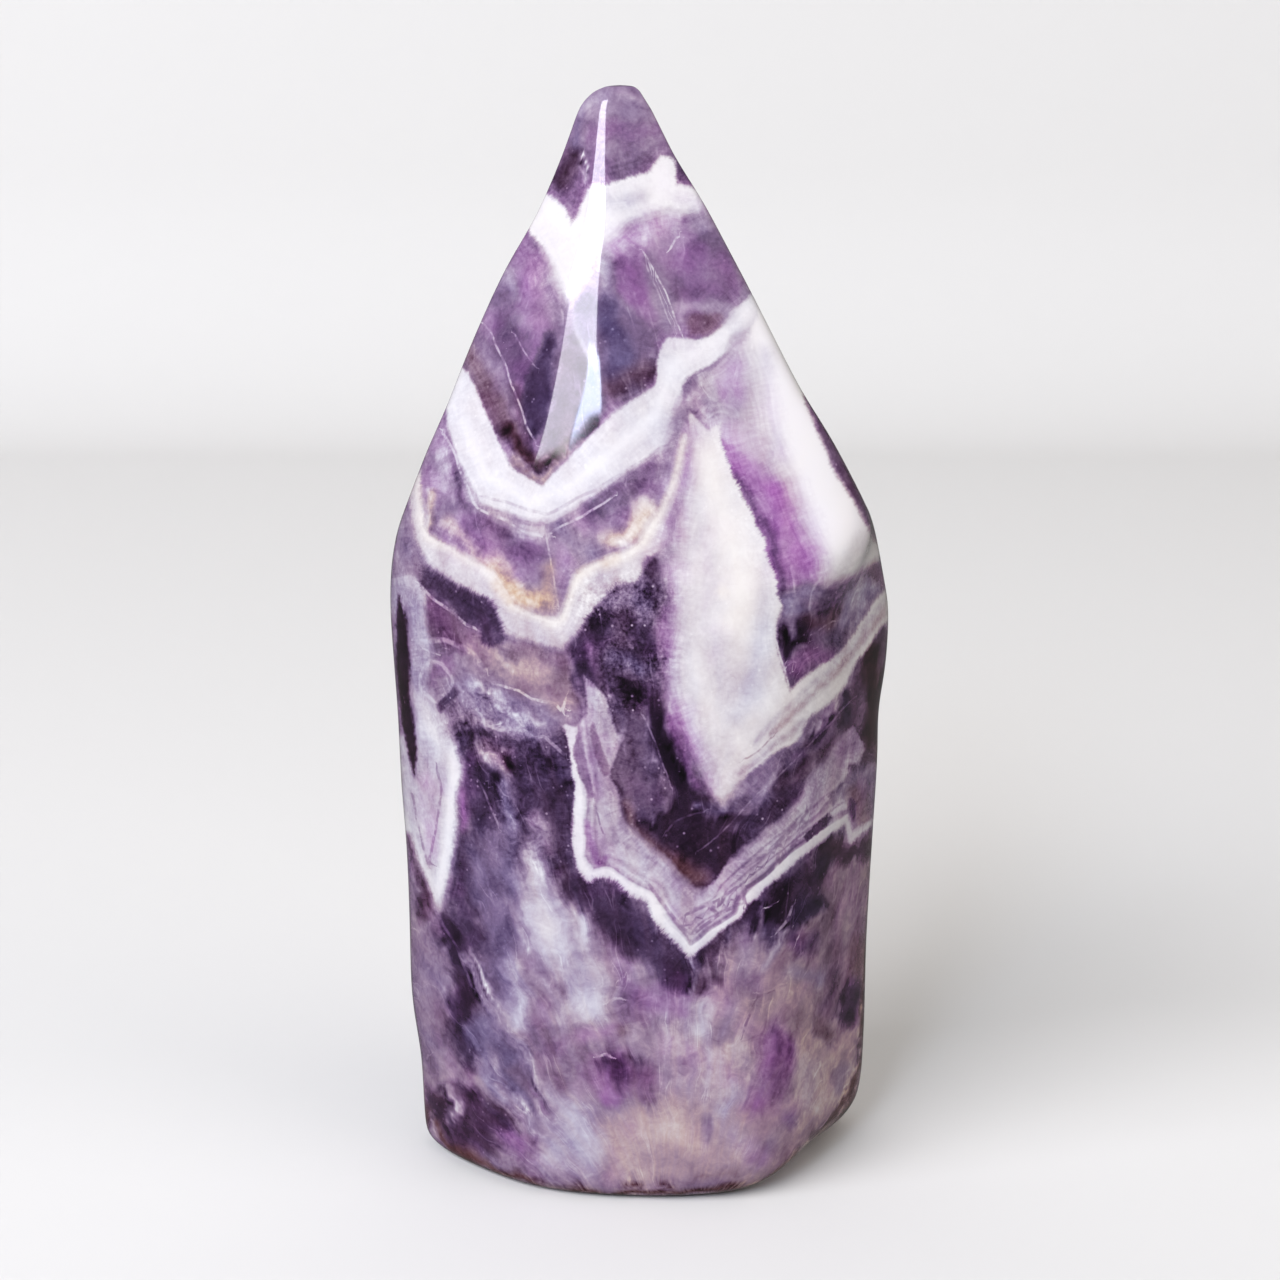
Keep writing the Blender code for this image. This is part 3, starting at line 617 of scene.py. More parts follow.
    ([(-1.2, -0.6), (0, -0.8)], 0.5, 0.6, (0.74, 0, 0.9)),
    ([(-20, 9), (-20.7, 14), (-20.8, 22), (-20.9, 30)], 0.35, 0.5, (0.62, 0, 0.8)),
    ([(20, 20), (20.8, 26), (21.2, 34), (21.3, 38)], 0.5, 0.6, (0.66, 0, 0.8)),
    ([(2.2, -0.4), (3.2, -0.8)], 0.5, 0.6, (0.7, 0, 0.7)),
    ([(5.4, 0.2), (8, 0.1)], 0.7, 0.8, (0.5, 0.05, 0.6)),
]

# Milky bands and other patches with a definite edge: (outline, softness, fringe, tone), in millimetres
milkPatches = [
    # first band
    ([(-8.8, 86.6), (-7.9, 86), (-7, 85.2), (-6.4, 84.4), (-6, 83.4), (-5.5, 84), (-4.8, 86), (-4.3, 87),
      (-3.4, 86.8), (-2, 87.2), (-1, 87.5), (0, 87.8), (0.9, 88), (1.3, 88.8), (1.8, 89.4), (3.1, 89.3),
      (3.2, 88), (3.3, 86.9), (4.6, 86.7), (5.6, 85.8), (5.2, 84.9), (4, 84.4), (2.5, 84.6), (0.5, 84),
      (-1, 83.5), (-2, 82.6), (-3, 81.8), (-3.9, 80.8), (-4.6, 79.2), (-5.4, 77.6), (-6.3, 76.5), (-7, 77.8),
      (-8, 80), (-8.8, 81.5), (-9.8, 83), (-12, 83.4)], 0.3, 0.35, (0.06, 0, 0.1)),
    # second band
    ([(-17, 72.5), (-15.5, 70.7), (-15, 70.3), (-14.3, 69), (-13.5, 67), (-12.8, 65.5), (-12.2, 63.9),
      (-11.6, 62.8), (-11.2, 61.9), (-8.5, 60.4), (-7.5, 61.6), (-6, 63.2), (-4, 65), (-2.6, 66.6),
      (-1, 67.8), (0.3, 68.5), (1.3, 69.2), (1.45, 71), (2, 73), (2.4, 73.4), (3.6, 73.4), (5, 73.3),
      (6.2, 73.7), (7.5, 75), (8.3, 76), (9.5, 77), (11, 79), (12, 75), (9.6, 73.6), (8.3, 73.2), (7.5, 72.2),
      (6.5, 71.2), (5.2, 70.6), (4, 69.8), (3.5, 68.5), (2.9, 66.5), (2.9, 65), (2.3, 64), (1, 63.2),
      (-0.5, 62), (-2, 61), (-3, 60.3), (-4, 59.6), (-5, 58.9), (-6.5, 58), (-7.6, 57.4), (-9.2, 57.3),
      (-10.5, 57.6), (-12, 58.2), (-13, 58.7), (-14, 59), (-14.3, 59.7), (-15, 61), (-16, 63), (-16.8, 65.5),
      (-16.9, 67), (-18.5, 69)], 0.22, 0.15, (0.12, -0.05, 0.08)),
    # white down to the right shoulder
    ([(9, 75.5), (10.2, 78), (13, 75), (17, 67.5), (20, 61), (24, 56), (23.5, 55), (21.5, 54.3), (20.4, 53.8),
      (19, 52.9), (18, 52.3), (16.5, 51.9), (16, 53), (16, 54), (15, 56), (13.7, 59), (13.1, 61), (12.1, 63),
      (11.4, 65), (11, 67), (10.6, 69), (10, 71), (9.2, 73.3)], 0.6, 0.2, (0.03, 0.1, 0.22)),
    # the plume and the fourth band
    ([(4.3, 67), (5.9, 65.3), (7.1, 66), (7, 65), (7.3, 63.8), (7.6, 63), (8, 62), (8.3, 61), (8.8, 60.5),
      (8.9, 59.5), (9.8, 58.2), (10.2, 57), (11, 55.8), (11, 54.8), (11.6, 53.5), (12, 52.6), (12.1, 51),
      (12.6, 49.9), (12, 48.5), (11.9, 47), (12.5, 44.4), (13.1, 42.5), (14, 43.4), (15.2, 44.2), (16, 44.8),
      (17.2, 45.6), (18, 46.3), (18.7, 47.4), (19.3, 48.5), (19.9, 49.3), (20.4, 50.2), (21, 51),
      (21.5, 51.4), (24, 53.5), (24, 50), (22, 49), (21, 48), (20.3, 46.8), (19.6, 45.8), (18.8, 44.8),
      (18.4, 43.8), (17.8, 42.8), (17, 41.7), (16, 41), (15.2, 40.5), (14.6, 39.8), (14.2, 38.9),
      (13.8, 38.2), (13, 37.7), (12, 37.2), (11, 36.4), (10.2, 35.8), (9.6, 35.3), (9, 34.8), (8.4, 34.1),
      (8, 33.6), (7.7, 32.9), (7.3, 32.3), (6.6, 32.8), (5.9, 33.9), (5.5, 35), (4.9, 36.3), (4.2, 37.6),
      (3.5, 39), (2.9, 40.5), (2.3, 42), (1.9, 44), (1.9, 46), (2.4, 48), (2.6, 50), (2.5, 52), (2.6, 54),
      (2.9, 57), (3.4, 59.5), (3.9, 61.5), (4.2, 64)], 0.25, 0.2, (0.1, -0.05, 0.24)),
    # the fifth band, a wide V with an arm up its left
    ([(-6.9, 39.6), (-6.3, 38), (-6.1, 36.5), (-5.9, 35), (-5.6, 34.2), (-5.8, 33), (-5.9, 31), (-5.9, 29),
      (-5.7, 27.8), (-5.2, 26.5), (-4.6, 25.7), (-4, 26.1), (-3, 26.1), (-2, 25.9), (-1.3, 25), (-0.5, 24.4),
      (0.6, 24.2), (0.8, 23.5), (1.2, 22.6), (1.6, 22), (2.2, 21.3), (3, 20.6), (3.5, 20.2), (3.9, 19.6),
      (4.3, 19.2), (4.7, 19.4), (5.3, 20), (6, 20.5), (7, 21.5), (8, 22.2), (8.9, 22.7), (9.3, 23.8),
      (10, 24.2), (10.5, 24.7), (11, 25.3), (12, 26), (13, 27), (14, 27.9), (15, 28.7), (16, 29.3),
      (17, 30.2), (17.9, 30.9), (18.1, 30.1), (18.4, 29.1), (19.2, 29.9), (20.2, 30.6), (22.5, 32),
      (22.5, 33), (20.2, 31.2), (19.2, 30.5), (18.6, 30.2), (18.3, 31.2), (18.1, 32.2), (17.6, 33.3),
      (16.9, 32.4), (16.4, 33.2), (17.6, 34.4), (18.2, 35.4), (18.1, 36.2), (19.2, 36), (19.6, 37.4),
      (18.7, 39.4), (18, 38.8), (17, 37.7), (16, 36), (15, 35), (14.5, 34.2), (14, 33), (12.7, 31.7),
      (12, 31), (11, 30.3), (10.5, 29.5), (9, 28.5), (7.6, 27.4), (7.2, 26.7), (6.8, 26), (6, 25.3),
      (5.2, 24.7), (4.8, 24.9), (3.8, 26), (2.5, 27.5), (1, 28.6), (-0.3, 29.9), (-1.4, 31.2), (-1.9, 32.5),
      (-1.8, 33.2), (-2.2, 34.2), (-2.8, 35.2), (-2.2, 36.8), (-1.4, 38.6), (-2, 38.7), (-2.5, 40), (-3, 42),
      (-4, 43), (-5, 44), (-4.6, 42), (-4.6, 40.4), (-5.6, 39.3)], 0.22, 0.25, (0.33, 0.03, 0.03)),
    # pale left edge with its own narrow V
    ([(-24, 50), (-20.4, 50), (-20.3, 47), (-20.1, 44), (-19.8, 41), (-19.6, 39), (-19.6, 36.8),
      (-19.7, 34.8), (-20.1, 36.4), (-20.7, 38.6), (-24, 39), (-24, 31), (-20.2, 30), (-19.9, 29),
      (-19.4, 27.5), (-18.8, 26), (-18.3, 24.8), (-17.9, 23.6), (-17.4, 23.3), (-17.1, 24.2), (-16.8, 26),
      (-16.4, 28), (-16, 30), (-16, 32), (-15.9, 34), (-15.6, 35), (-15.4, 36), (-15.9, 37), (-16.2, 38.5),
      (-16.9, 40.4), (-18, 41.6), (-18.6, 43), (-18.2, 45), (-18.6, 48), (-18.8, 51.6), (-19.8, 52.6),
      (-24, 52)], 0.4, 0.25, (0.24, -0.15, 0)),
    # third band: cream above, spiky grey-white below
    ([(-20.4, 64), (-19.3, 62.4), (-19.1, 58.4), (-18.8, 56.6), (-18, 56), (-16.5, 55.2), (-14, 53.7),
      (-12.8, 52.8), (-11.8, 51.3), (-11, 50.1), (-10, 49.6), (-8, 49), (-7.1, 48.9), (-6.8, 49.6),
      (-6.5, 50.6), (-6.1, 51.9), (-5.6, 52.9), (-4.6, 53.6), (-3.5, 54), (-2, 54.7), (-1.2, 54.9),
      (-0.3, 55.6), (0.1, 56.4), (0.7, 57.4), (1.5, 58.2), (2.3, 59.8), (2.9, 61.2), (3.2, 63.2), (3.6, 64.7),
      (4.2, 66.4), (4.6, 62), (3.6, 59), (2.8, 57), (2, 54.8), (0.6, 54.2), (0.2, 53), (-0.5, 52.1),
      (-1.8, 52), (-2.5, 51.5), (-3.5, 50.5), (-4.2, 49.5), (-5, 48.2), (-5.5, 47.6), (-6.4, 46.8),
      (-6.8, 46.1), (-8, 46.4), (-10, 47), (-11.8, 47.6), (-12.3, 48.5), (-12.8, 49.5), (-13.2, 50),
      (-14, 50.5), (-15, 51), (-16, 51.8), (-17.5, 53), (-18.5, 53.7), (-19.3, 55), (-19.8, 56), (-20, 58),
      (-20.6, 62)], 0.3, 0.4, (0.2, -0.05, 0.15)),
]

# The fifth band's outer edge, and its pigment at distances in from there: left arm, then right arm
fifthEdge = [
    (-6.9, 41), (-6.1, 36.5), (-5.7, 33.8), (-5.9, 31), (-5.7, 27.8), (-4.6, 25.7), (-3, 26.1), (-1.3, 25),
    (0.6, 24.2), (1.2, 22.6), (3, 20.6), (4.3, 19.2), (6, 20.5), (8.9, 22.7), (9.3, 23.8), (11, 25.3),
    (13, 27), (15, 28.7), (17.9, 30.9), (20.2, 32.6),
]
fifthLayers = {
    "Left": ((0, 0.1), (0.6, 0.06), (0.9, 0.16), (1.1, 0.42), (1.35, 0.3), (1.6, 0.22), (1.9, 0.4),
             (2.2, 0.28), (3.0, 0.3), (3.4, 0.38), (3.8, 0.3), (5.4, 0.54)),
    "Right": ((0, 0.12), (0.6, 0.08), (0.75, 0.42), (0.95, 0.58), (1.15, 0.3), (1.35, 0.22), (1.5, 0.44),
              (1.7, 0.24), (2.1, 0.42), (2.3, 0.26), (2.7, 0.3), (2.9, 0.46), (3.1, 0.3), (4.2, 0.34),
              (5.4, 0.5)),
}
fifthStart = (-6.9, 39.6)  # first point of the fifth band's outline
layersWithin = 6.0  # the layers' ramps run over this many millimetres

# Tones inside the milky patches, in the same form as the clouds
milkClouds = [
    ([(-3.5, 85.6), (-1.5, 85.2), (0, 85.6)], 1.0, 0.8, (0.2, 0, 0)),
    ([(3.6, 85.6), (5.4, 85.4)], 0.8, 0.8, (0.16, 0.3, 0)),
    ([(-2.6, 82.8), (-0.6, 84), (2, 84.8)], 0.4, 0.6, (0.14, 0.3, 0)),
    ([(11, 72), (11.4, 67), (12.6, 63)], 1.2, 1.2, (0.14, 0.35, 0)),
    ([(13.8, 61), (15.6, 56.6), (16.6, 53.6)], 1.0, 1.2, (0.11, 0.4, 0.05)),
    ([(19.6, 55.6), (18, 53)], 1.6, 1.0, (0.12, 0, 0.15)),
    # the second band's whiter core
    ([(-15.6, 66), (-13.6, 61.6), (-9.6, 58.9), (-6, 60.6), (-2, 63.8), (1.5, 66.8), (2.8, 71), (4.6, 71.9),
      (7.2, 73.6), (9.8, 76)], 0.6, 0.9, (0.02, 0, 0.06)),
    # the plume's lilac left side, cream right side and grey middle
    ([(4, 65), (3.6, 61), (3, 57), (2.8, 52), (2.8, 48), (2.4, 44), (3.2, 41), (4.6, 38), (6, 34.6)],
      2.4, 1.8, (0.28, 0.35, 0)),
    ([(5.6, 59), (6, 53), (5.4, 48)], 1.4, 1.4, (0.15, 0.1, 0.05)),
    ([(10.8, 48), (10, 44), (8.4, 40)], 1.2, 1.2, (0.22, -0.3, 0)),
    ([(11.2, 54), (10.6, 50), (11.4, 46)], 0.8, 0.9, (0.16, -0.1, 0.1)),
    ([(2.6, 53), (2.5, 49.6), (2.2, 46), (2.1, 43.6), (2.7, 41.4)], 0.3, 0.9, (0.46, 0.6, 0)),
    ([(3.1, 40.6), (4, 38.6), (5.2, 36.4)], 0.3, 0.9, (0.46, 0.8, 0)),
    ([(6, 63), (7.4, 58), (9, 52), (8.4, 49)], 2.2, 1.6, (0.05, 0, 0.45)),
    ([(6.8, 46.4), (7.2, 44.6), (8, 42)], 2.0, 1.4, (0.22, -0.1, 0.12)),
    ([(10.8, 45), (9.6, 41)], 1.8, 1.6, (0.15, -0.2, 0.05)),
    ([(7.6, 38.6), (8, 35.6)], 1.6, 1.2, (0.15, 0.05, 0.2)),
    ([(9.6, 39.4), (11.4, 40.6)], 1.2, 1.2, (0.1, 0, 0.3)),
    ([(7.3, 51.2)], 1.1, 0.3, (0.08, 0, 0.55)),
    ([(11.6, 38.8), (13.8, 40.9), (15.4, 42.4), (17.2, 44.2), (19, 46.4), (21.4, 49.6)],
      0.5, 0.35, (0.36, 0.05, 0.2)),
    ([(10.2, 38.2), (12.4, 40.6), (14.6, 42.6), (16.8, 44.6), (18.8, 46.8), (21.4, 50.6)],
      0.4, 0.3, (0.26, -0.1, 0.1)),
    ([(8.8, 35.2), (10.4, 36.6), (12.4, 38.2), (14.4, 39.8)], 0.4, 0.4, (0.3, 0, 0.1)),
    # fifth band
    ([(-3.2, 41), (-2.6, 36), (-2.8, 32)], 2.2, 1.2, (0.36, -0.15, 0.05)),
    ([(-6.4, 38), (-5.6, 34.4), (-5.5, 30), (-5.2, 27.4), (-4.2, 26.4), (-2.6, 26.6), (-1.2, 25.6),
      (0.8, 24.6), (1.6, 22.8), (3, 21.2), (4.4, 19.8)], 0.9, 0.4, (0.06, 0, 0)),
    ([(4.6, 20.2), (7, 22), (8.9, 23.4), (9.6, 24.9), (12, 26.8), (15, 29.4), (17.6, 32.2)],
      0.8, 0.35, (0.06, 0, 0)),
    ([(-3, 30.6), (-1, 28.4), (1, 26.8), (3, 25)], 1.6, 0.8, (0.16, 0.15, 0)),
    ([(8.4, 26), (10.6, 27.6), (13, 29.8), (15.4, 32)], 1.6, 0.7, (0.3, 0.1, 0.03)),
    ([(14.6, 33.2), (16.4, 35.4), (18.4, 38)], 1.4, 0.8, (0.28, 0, 0)),
    ([(16.2, 34), (17.6, 35.4)], 0.5, 0.5, (0.5, 0.15, 0.1)),
    ([(-3.2, 41.6), (-3.6, 39), (-2.6, 36.6)], 1.0, 0.8, (0.25, 0, 0.03)),
    # the third band's cream line
    ([(-19.2, 61), (-19.1, 57.6), (-18.6, 56), (-16.5, 55), (-14, 53.5), (-12.8, 52.4), (-11.9, 51)],
      0.7, 0.5, (0.07, 0, 0.5)),
    ([(-11.6, 50.8), (-10.9, 49.9), (-9.6, 49.3), (-7.4, 48.6), (-6.8, 49), (-6.4, 50.2), (-6, 51.6),
      (-5.4, 52.6), (-3.6, 53.6), (-1.2, 54.4), (0.2, 55.6), (1.6, 57.9), (2.9, 60.6), (3.8, 64.6)],
      0.8, 0.5, (0.07, 0, 0.55)),
    ([(-12.6, 51.9), (-11.4, 50.3)], 0.7, 0.6, (0.16, 0, 0.9)),
    ([(-3, 53.6), (-2, 54.2)], 0.6, 0.6, (0.14, 0, 0.8)),
    # left edge
    ([(-22, 51), (-19.8, 49.6), (-19.4, 44)], 3.0, 1.0, (0.36, -0.4, 0)),
    ([(-18.9, 34.6), (-18.4, 31), (-18, 27.6)], 1.8, 0.7, (0.26, 0.25, 0)),
    ([(-16.2, 37.4), (-16.2, 34), (-16.6, 30), (-17.5, 25)], 1.3, 0.5, (0.06, -0.05, 0)),
    ([(-20.8, 31), (-19, 27.2), (-17.9, 24.4)], 0.7, 0.4, (0.1, -0.1, 0)),
    ([(-18.4, 39.4), (-17.4, 37.6)], 1.1, 0.8, (0.16, -0.2, 0)),
]

# Dark patches with a definite edge, in the same form as the milky ones
darkPatches = [
    ([(-8.2, 74), (-7.5, 73.8), (-7.4, 72), (-7.6, 70), (-7.8, 68), (-8, 66), (-8.6, 65), (-9.2, 64.7),
      (-9.9, 65.6), (-10.5, 67.5), (-10.2, 68.5), (-9.9, 70.3), (-9, 71.6), (-8.5, 73)],
      0.5, 0.15, (0.78, -0.4, 0)),
    ([(2.2, 80.7), (2.8, 81.05), (3.8, 80.9), (4.2, 81.8), (5.3, 82.6), (6.4, 83), (7.5, 81), (8.5, 79),
      (9, 77.8), (8.2, 76.6), (6, 76.8), (3, 76.7), (2.6, 78)], 0.4, 0.2, (0.54, 0.18, 0)),
    ([(4, 75), (4.6, 75.6), (7.2, 75.6), (7, 74.5), (6, 73.8), (4.3, 73.6)], 0.4, 0.2, (0.56, 0.25, 0.4)),
    ([(3.25, 89), (4.6, 86.9), (3.35, 87)], 0.15, 0.1, (0.66, 0.2, 0)),
    ([(-19, 53.5), (-17.5, 52.6), (-16, 51.7), (-14, 50.9), (-13, 50.5), (-12.6, 49.4), (-12.2, 48.6),
      (-11.8, 46.9), (-13.2, 46.4), (-14, 46.8), (-14.1, 48), (-15.2, 48.3), (-16, 49), (-16.5, 49.4),
      (-18, 50.5), (-19.3, 51.8)], 0.35, 0.45, (0.76, 0.08, 0)),
    # darker and browner along the right edge, up to the outline
    ([(13.9, 71.4), (14.4, 68.3), (15.5, 65.4), (16.7, 62.5), (18.4, 59.6), (20, 56.8), (20.6, 55.6),
      (23, 55.6), (25, 62), (17, 73)], 0.35, 0.15, (0.66, 0.1, 0.2)),
    ([(-6.2, 44.3), (-5.1, 44.4), (-4.8, 42.2), (-6, 42.9)], 0.3, 0.1, (0.76, 0.1, 0)),
    ([(-16.3, 43), (-15.9, 42.3), (-17.5, 40.6), (-17.9, 41.3)], 0.25, 0.05, (0.74, 0.1, 0)),
    ([(-21.2, 51), (-20.5, 49), (-20.2, 45), (-20.2, 42), (-19.7, 39), (-19.6, 37), (-19.7, 35), (-20.3, 37),
      (-20.9, 40), (-21.4, 45)], 0.2, 0.1, (0.92, -0.1, 0.3)),
    # slivers inside the fifth band
    ([(-5.9, 37.2), (-5.5, 39), (-5.1, 38.4), (-4.6, 36), (-3.9, 32.8), (-4.5, 33.4), (-5.4, 35.4)],
      0.15, 0.1, (0.46, 0.1, 0)),
    ([(-4.5, 39.6), (-4.1, 39.8), (-3.5, 38.2), (-2.6, 35.4), (-3.2, 35.1), (-3.9, 36.6)],
      0.15, 0.1, (0.5, 0.15, 0.15)),
    ([(-4.8, 31.3), (-4.9, 30.4), (-4.6, 29), (-4.2, 27.9), (-3.8, 27.1), (-3.3, 27.2), (-2.6, 27.8),
      (-2.9, 28.2), (-3.5, 27.9), (-3.7, 28.6), (-4.2, 29.8), (-4.5, 31.2)], 0.3, 0.1, (0.44, 0.35, 0)),
    ([(14.2, 29.8), (14.8, 30.3), (15.6, 31.2), (16.6, 31.9), (16.9, 31.5), (16.2, 30.6), (15.2, 29.8),
      (14.6, 29.3)], 0.12, 0.1, (0.74, 0.1, 0.05)),
    ([(18.3, 33.2), (18.9, 32.8), (19, 31.6), (18.6, 31), (18.2, 32)], 0.15, 0.1, (0.72, 0.3, 0.1)),
]
darkClouds = [
    ([(5.6, 82.4), (6.4, 81.8)], 1.4, 0.9, (0.58, -0.1, 0)),
    ([(-3.1, 27.7), (-3.6, 27.4)], 0.4, 0.4, (0.62, 0.7, 0)),
    ([(-15.4, 50.4), (-13.8, 49.4)], 1.0, 0.6, (0.82, 0, 0)),
]

# Thin lines: (points, half width, tone strength)
paleLines = [
    ([(-13.7, 74.6), (-13, 73.8), (-12.1, 71.8), (-11.5, 70), (-10.7, 68), (-10, 66), (-9.1, 64.3)],
      0.07, 0.7),
    ([(-11, 73.8), (-10.2, 72.3), (-9.2, 70.9)], 0.05, 0.5),
    ([(0.2, 81), (1.2, 79.5), (2.2, 77.5), (3, 75.5), (3.6, 73.5)], 0.06, 0.8),
    ([(0.5, 80), (1.5, 77.5), (2.3, 75.5), (2.9, 74)], 0.05, 0.4),
    ([(2.6, 81.2), (3.2, 82.3)], 0.07, 0.8),
    ([(-17.2, 65), (-16.2, 63.2), (-15.5, 61), (-14.5, 58.9), (-14.2, 58.5), (-12, 57.5), (-10, 56.4),
      (-8.2, 55.9), (-7.6, 56.5), (-6.8, 57), (-5, 57.8), (-4, 58.5), (-2.5, 59.5)], 0.1, 0.75),
    ([(-8.2, 56), (-7.7, 53), (-7.2, 50)], 0.07, 0.5),
    ([(-19.3, 51.8), (-18, 50.5), (-16.5, 49.4), (-16, 49), (-15.2, 48.3), (-14.5, 48)], 0.12, 0.7),
    ([(-19.4, 46.8), (-17, 47), (-14.6, 45.8), (-13.6, 44.4)], 0.25, 0.5),
    ([(-12.3, 43), (-10.5, 42.5), (-9.5, 41.8), (-8.5, 41.6), (-7.5, 41.5), (-6.8, 40.7), (-6.5, 42)],
      0.12, 0.8),
    ([(-19.2, 43.8), (-18.4, 45.2), (-17.4, 45), (-16.6, 44), (-16.3, 43.3), (-17.9, 41.4), (-19.2, 42.6),
      (-19.2, 43.8)], 0.16, 0.5),
    ([(-13.9, 40.4), (-13.6, 39.6), (-12.2, 39), (-10.7, 39.2), (-9.4, 38.4), (-8.4, 38.6), (-7.6, 37.8),
      (-6.8, 37)], 0.14, 0.5),
    ([(0.9, 45.7), (0.9, 44.5), (1.1, 43.4)], 0.07, 0.3),
    ([(0.2, 40.4), (0.7, 39.5), (1.3, 38), (1.9, 36.2), (2.4, 35), (2.6, 34)], 0.06, 0.4),
    ([(18.4, 41.7), (17, 40), (15, 38), (12, 34.9), (10.4, 33.6), (8.76, 31.9), (7, 30), (5.4, 28.6)],
      0.05, 0.32),
    ([(2.3, 30.1), (3, 31), (4.4, 31.6), (5.6, 31.9)], 0.07, 0.2),
    ([(11.9, 47), (12.4, 45), (13.1, 42.6)], 0.07, 0.9),
    ([(12.4, 45.2), (13.4, 45.1), (14, 44.8)], 0.05, 0.4),
    ([(13.9, 44.1), (14.3, 45), (15.2, 45.7)], 0.05, 0.4),
    ([(15.2, 47.4), (16, 48.1), (17, 48.6)], 0.05, 0.4),
    ([(12, 21.4), (12.6, 22), (13, 22.6), (13.4, 23.6)], 0.1, 0.6),
    ([(10.4, 16), (11.4, 16.3), (12.2, 16.8), (12.9, 17)], 0.06, 0.3),
    ([(13.7, 20.6), (13.9, 21.1)], 0.06, 0.7),
    ([(11.2, 23.6), (11.6, 23.9)], 0.08, 0.8),
    ([(-2.6, 15.3), (-2.1, 15.6), (-1.6, 15.6)], 0.09, 0.5),
    ([(-1.9, 17), (-1.6, 17.3)], 0.07, 0.5),
    ([(-3.5, 10.6), (-3, 10.8), (-2.7, 10.6)], 0.12, 0.7),
    ([(-17.7, 23), (-17.2, 22), (-16.4, 20.8), (-15.6, 18.6), (-14.6, 16.6)], 0.1, 0.25),
    ([(-14, 34.4), (-13, 32.4), (-12.4, 30.6)], 0.06, 0.4),
    ([(-12.8, 34.6), (-11.8, 33.4)], 0.05, 0.35),
    ([(8.7, 12.4), (9.4, 13.8), (9.9, 15)], 0.06, 0.3),
]
darkLines = [
    ([(9.2, 36.5), (10.3, 37.2), (11, 37.8), (11.7, 38.6)], 0.05, 0.35),
    ([(0.8, 25.6), (1.3, 24.8), (2, 23.9), (3, 22.6), (4, 21.5), (4.6, 21.2)], 0.16, 0.35),
    ([(4, 22.9), (5.2, 23.4), (6.4, 24), (7.4, 24.5), (8.4, 25.3)], 0.12, 0.5),
    ([(4.8, 21.3), (5.6, 21.9), (7, 23), (8, 23.5), (8.9, 23.9)], 0.16, 0.55),
    ([(6.2, 23.4), (7.2, 23.9)], 0.14, 0.6),
    ([(9.2, 27.2), (10.6, 28), (11.8, 28.9), (12.8, 30), (13.8, 31)], 0.2, 0.45),
    ([(9.2, 25.2), (10, 25.7), (11.2, 26.6), (12.6, 27.9), (14, 29.4)], 0.2, 0.65),
    ([(9.3, 23.8), (9.1, 24.8), (8.8, 25.8)], 0.1, 0.5),
    ([(12, 28), (13.2, 29.1), (14.6, 30.8), (15.8, 32), (17, 33.6)], 0.08, 0.3),
    ([(13.6, 30.6), (14.6, 31.8), (14.6, 32.2)], 0.12, 0.4),
    ([(-19.9, 33.5), (-19.5, 31), (-19, 29), (-18.5, 27.3), (-18.2, 28.8), (-17.9, 30.5), (-17.6, 32),
      (-17.4, 34), (-17.8, 36)], 0.1, 0.4),
    ([(-3.8, 32), (-3.5, 30.8), (-3.2, 30)], 0.06, 0.4),
    ([(9, 12.6), (9.6, 14), (10, 15.2)], 0.1, 0.6),
    ([(10.2, 15.8), (11.2, 16.1)], 0.07, 0.5),
    ([(-13.4, 59.5), (-8.2, 57.9), (-4, 60.1), (2, 63.9)], 0.14, 0.2),
    ([(-4.55, 88), (-4.5, 88.2)], 0.2, 0.9),
]

cloudCrispness = 0.8  # of a cloud's written softness

# Where a milky patch's edge melts into the quartz: (points, reach of the change, softness, fringe)
softEdges = [
    ([(-8.2, 80.4), (-6.3, 76.6), (-4.4, 79.6), (-2, 82.6), (1, 84.2), (5, 84.9)], 1.4, 0.75, 0.3),
    ([(-11.4, 57.8), (-9, 57.2), (-4, 59.6), (0, 62.4), (2.6, 64.6), (3.4, 68)], 0.8, 0.45, 0.3),
    ([(9.2, 74), (10.6, 69), (11.8, 63.6), (14, 58.4), (16.2, 53)], 2.4, 1.5, 0.3),
    ([(4, 64), (3.2, 58), (2.5, 51), (1.9, 44.6), (3.2, 39.6), (5, 35.8)], 1.8, 1.1, 0.3),
    ([(5.8, 34), (7.3, 32.3), (8.4, 34)], 1.2, 0.8, 0.2),
    ([(12.2, 50), (11.6, 53.5), (9.8, 58.2), (8, 62), (7.1, 65)], 0.7, 0.25, 0.45),
    ([(-18.8, 60), (-18.4, 56.4), (-13.4, 53.4), (-10.6, 49.9), (-7, 49), (-5.8, 52.6), (-1.2, 55), (2, 59),
      (3.8, 65)], 0.7, 0.5, 0.3),
    ([(-18.5, 53.7), (-14, 50.5), (-11.8, 47.6), (-6.8, 46.1), (-5, 48.2), (-2.5, 51.5), (0.6, 54)],
      0.9, 0.4, 0.45),
    ([(-5.2, 26.4), (-3, 26), (-1.3, 25), (0.6, 24.2), (1.2, 22.6), (3, 20.6), (4.3, 19.2)], 0.9, 0.35, 0.6),
    ([(-2, 33), (-1.6, 31.6), (1, 28.6), (4, 25.8), (5.3, 24.8)], 1.0, 0.7, 0.2),
    ([(8.2, 28), (11.4, 30.6), (14.4, 34), (17.4, 38.2)], 0.8, 0.55, 0.25),
    ([(-18, 42), (-16.3, 38.4), (-15.6, 35.2), (-16.2, 29), (-17.4, 23.6)], 1.0, 0.5, 0.3),
]

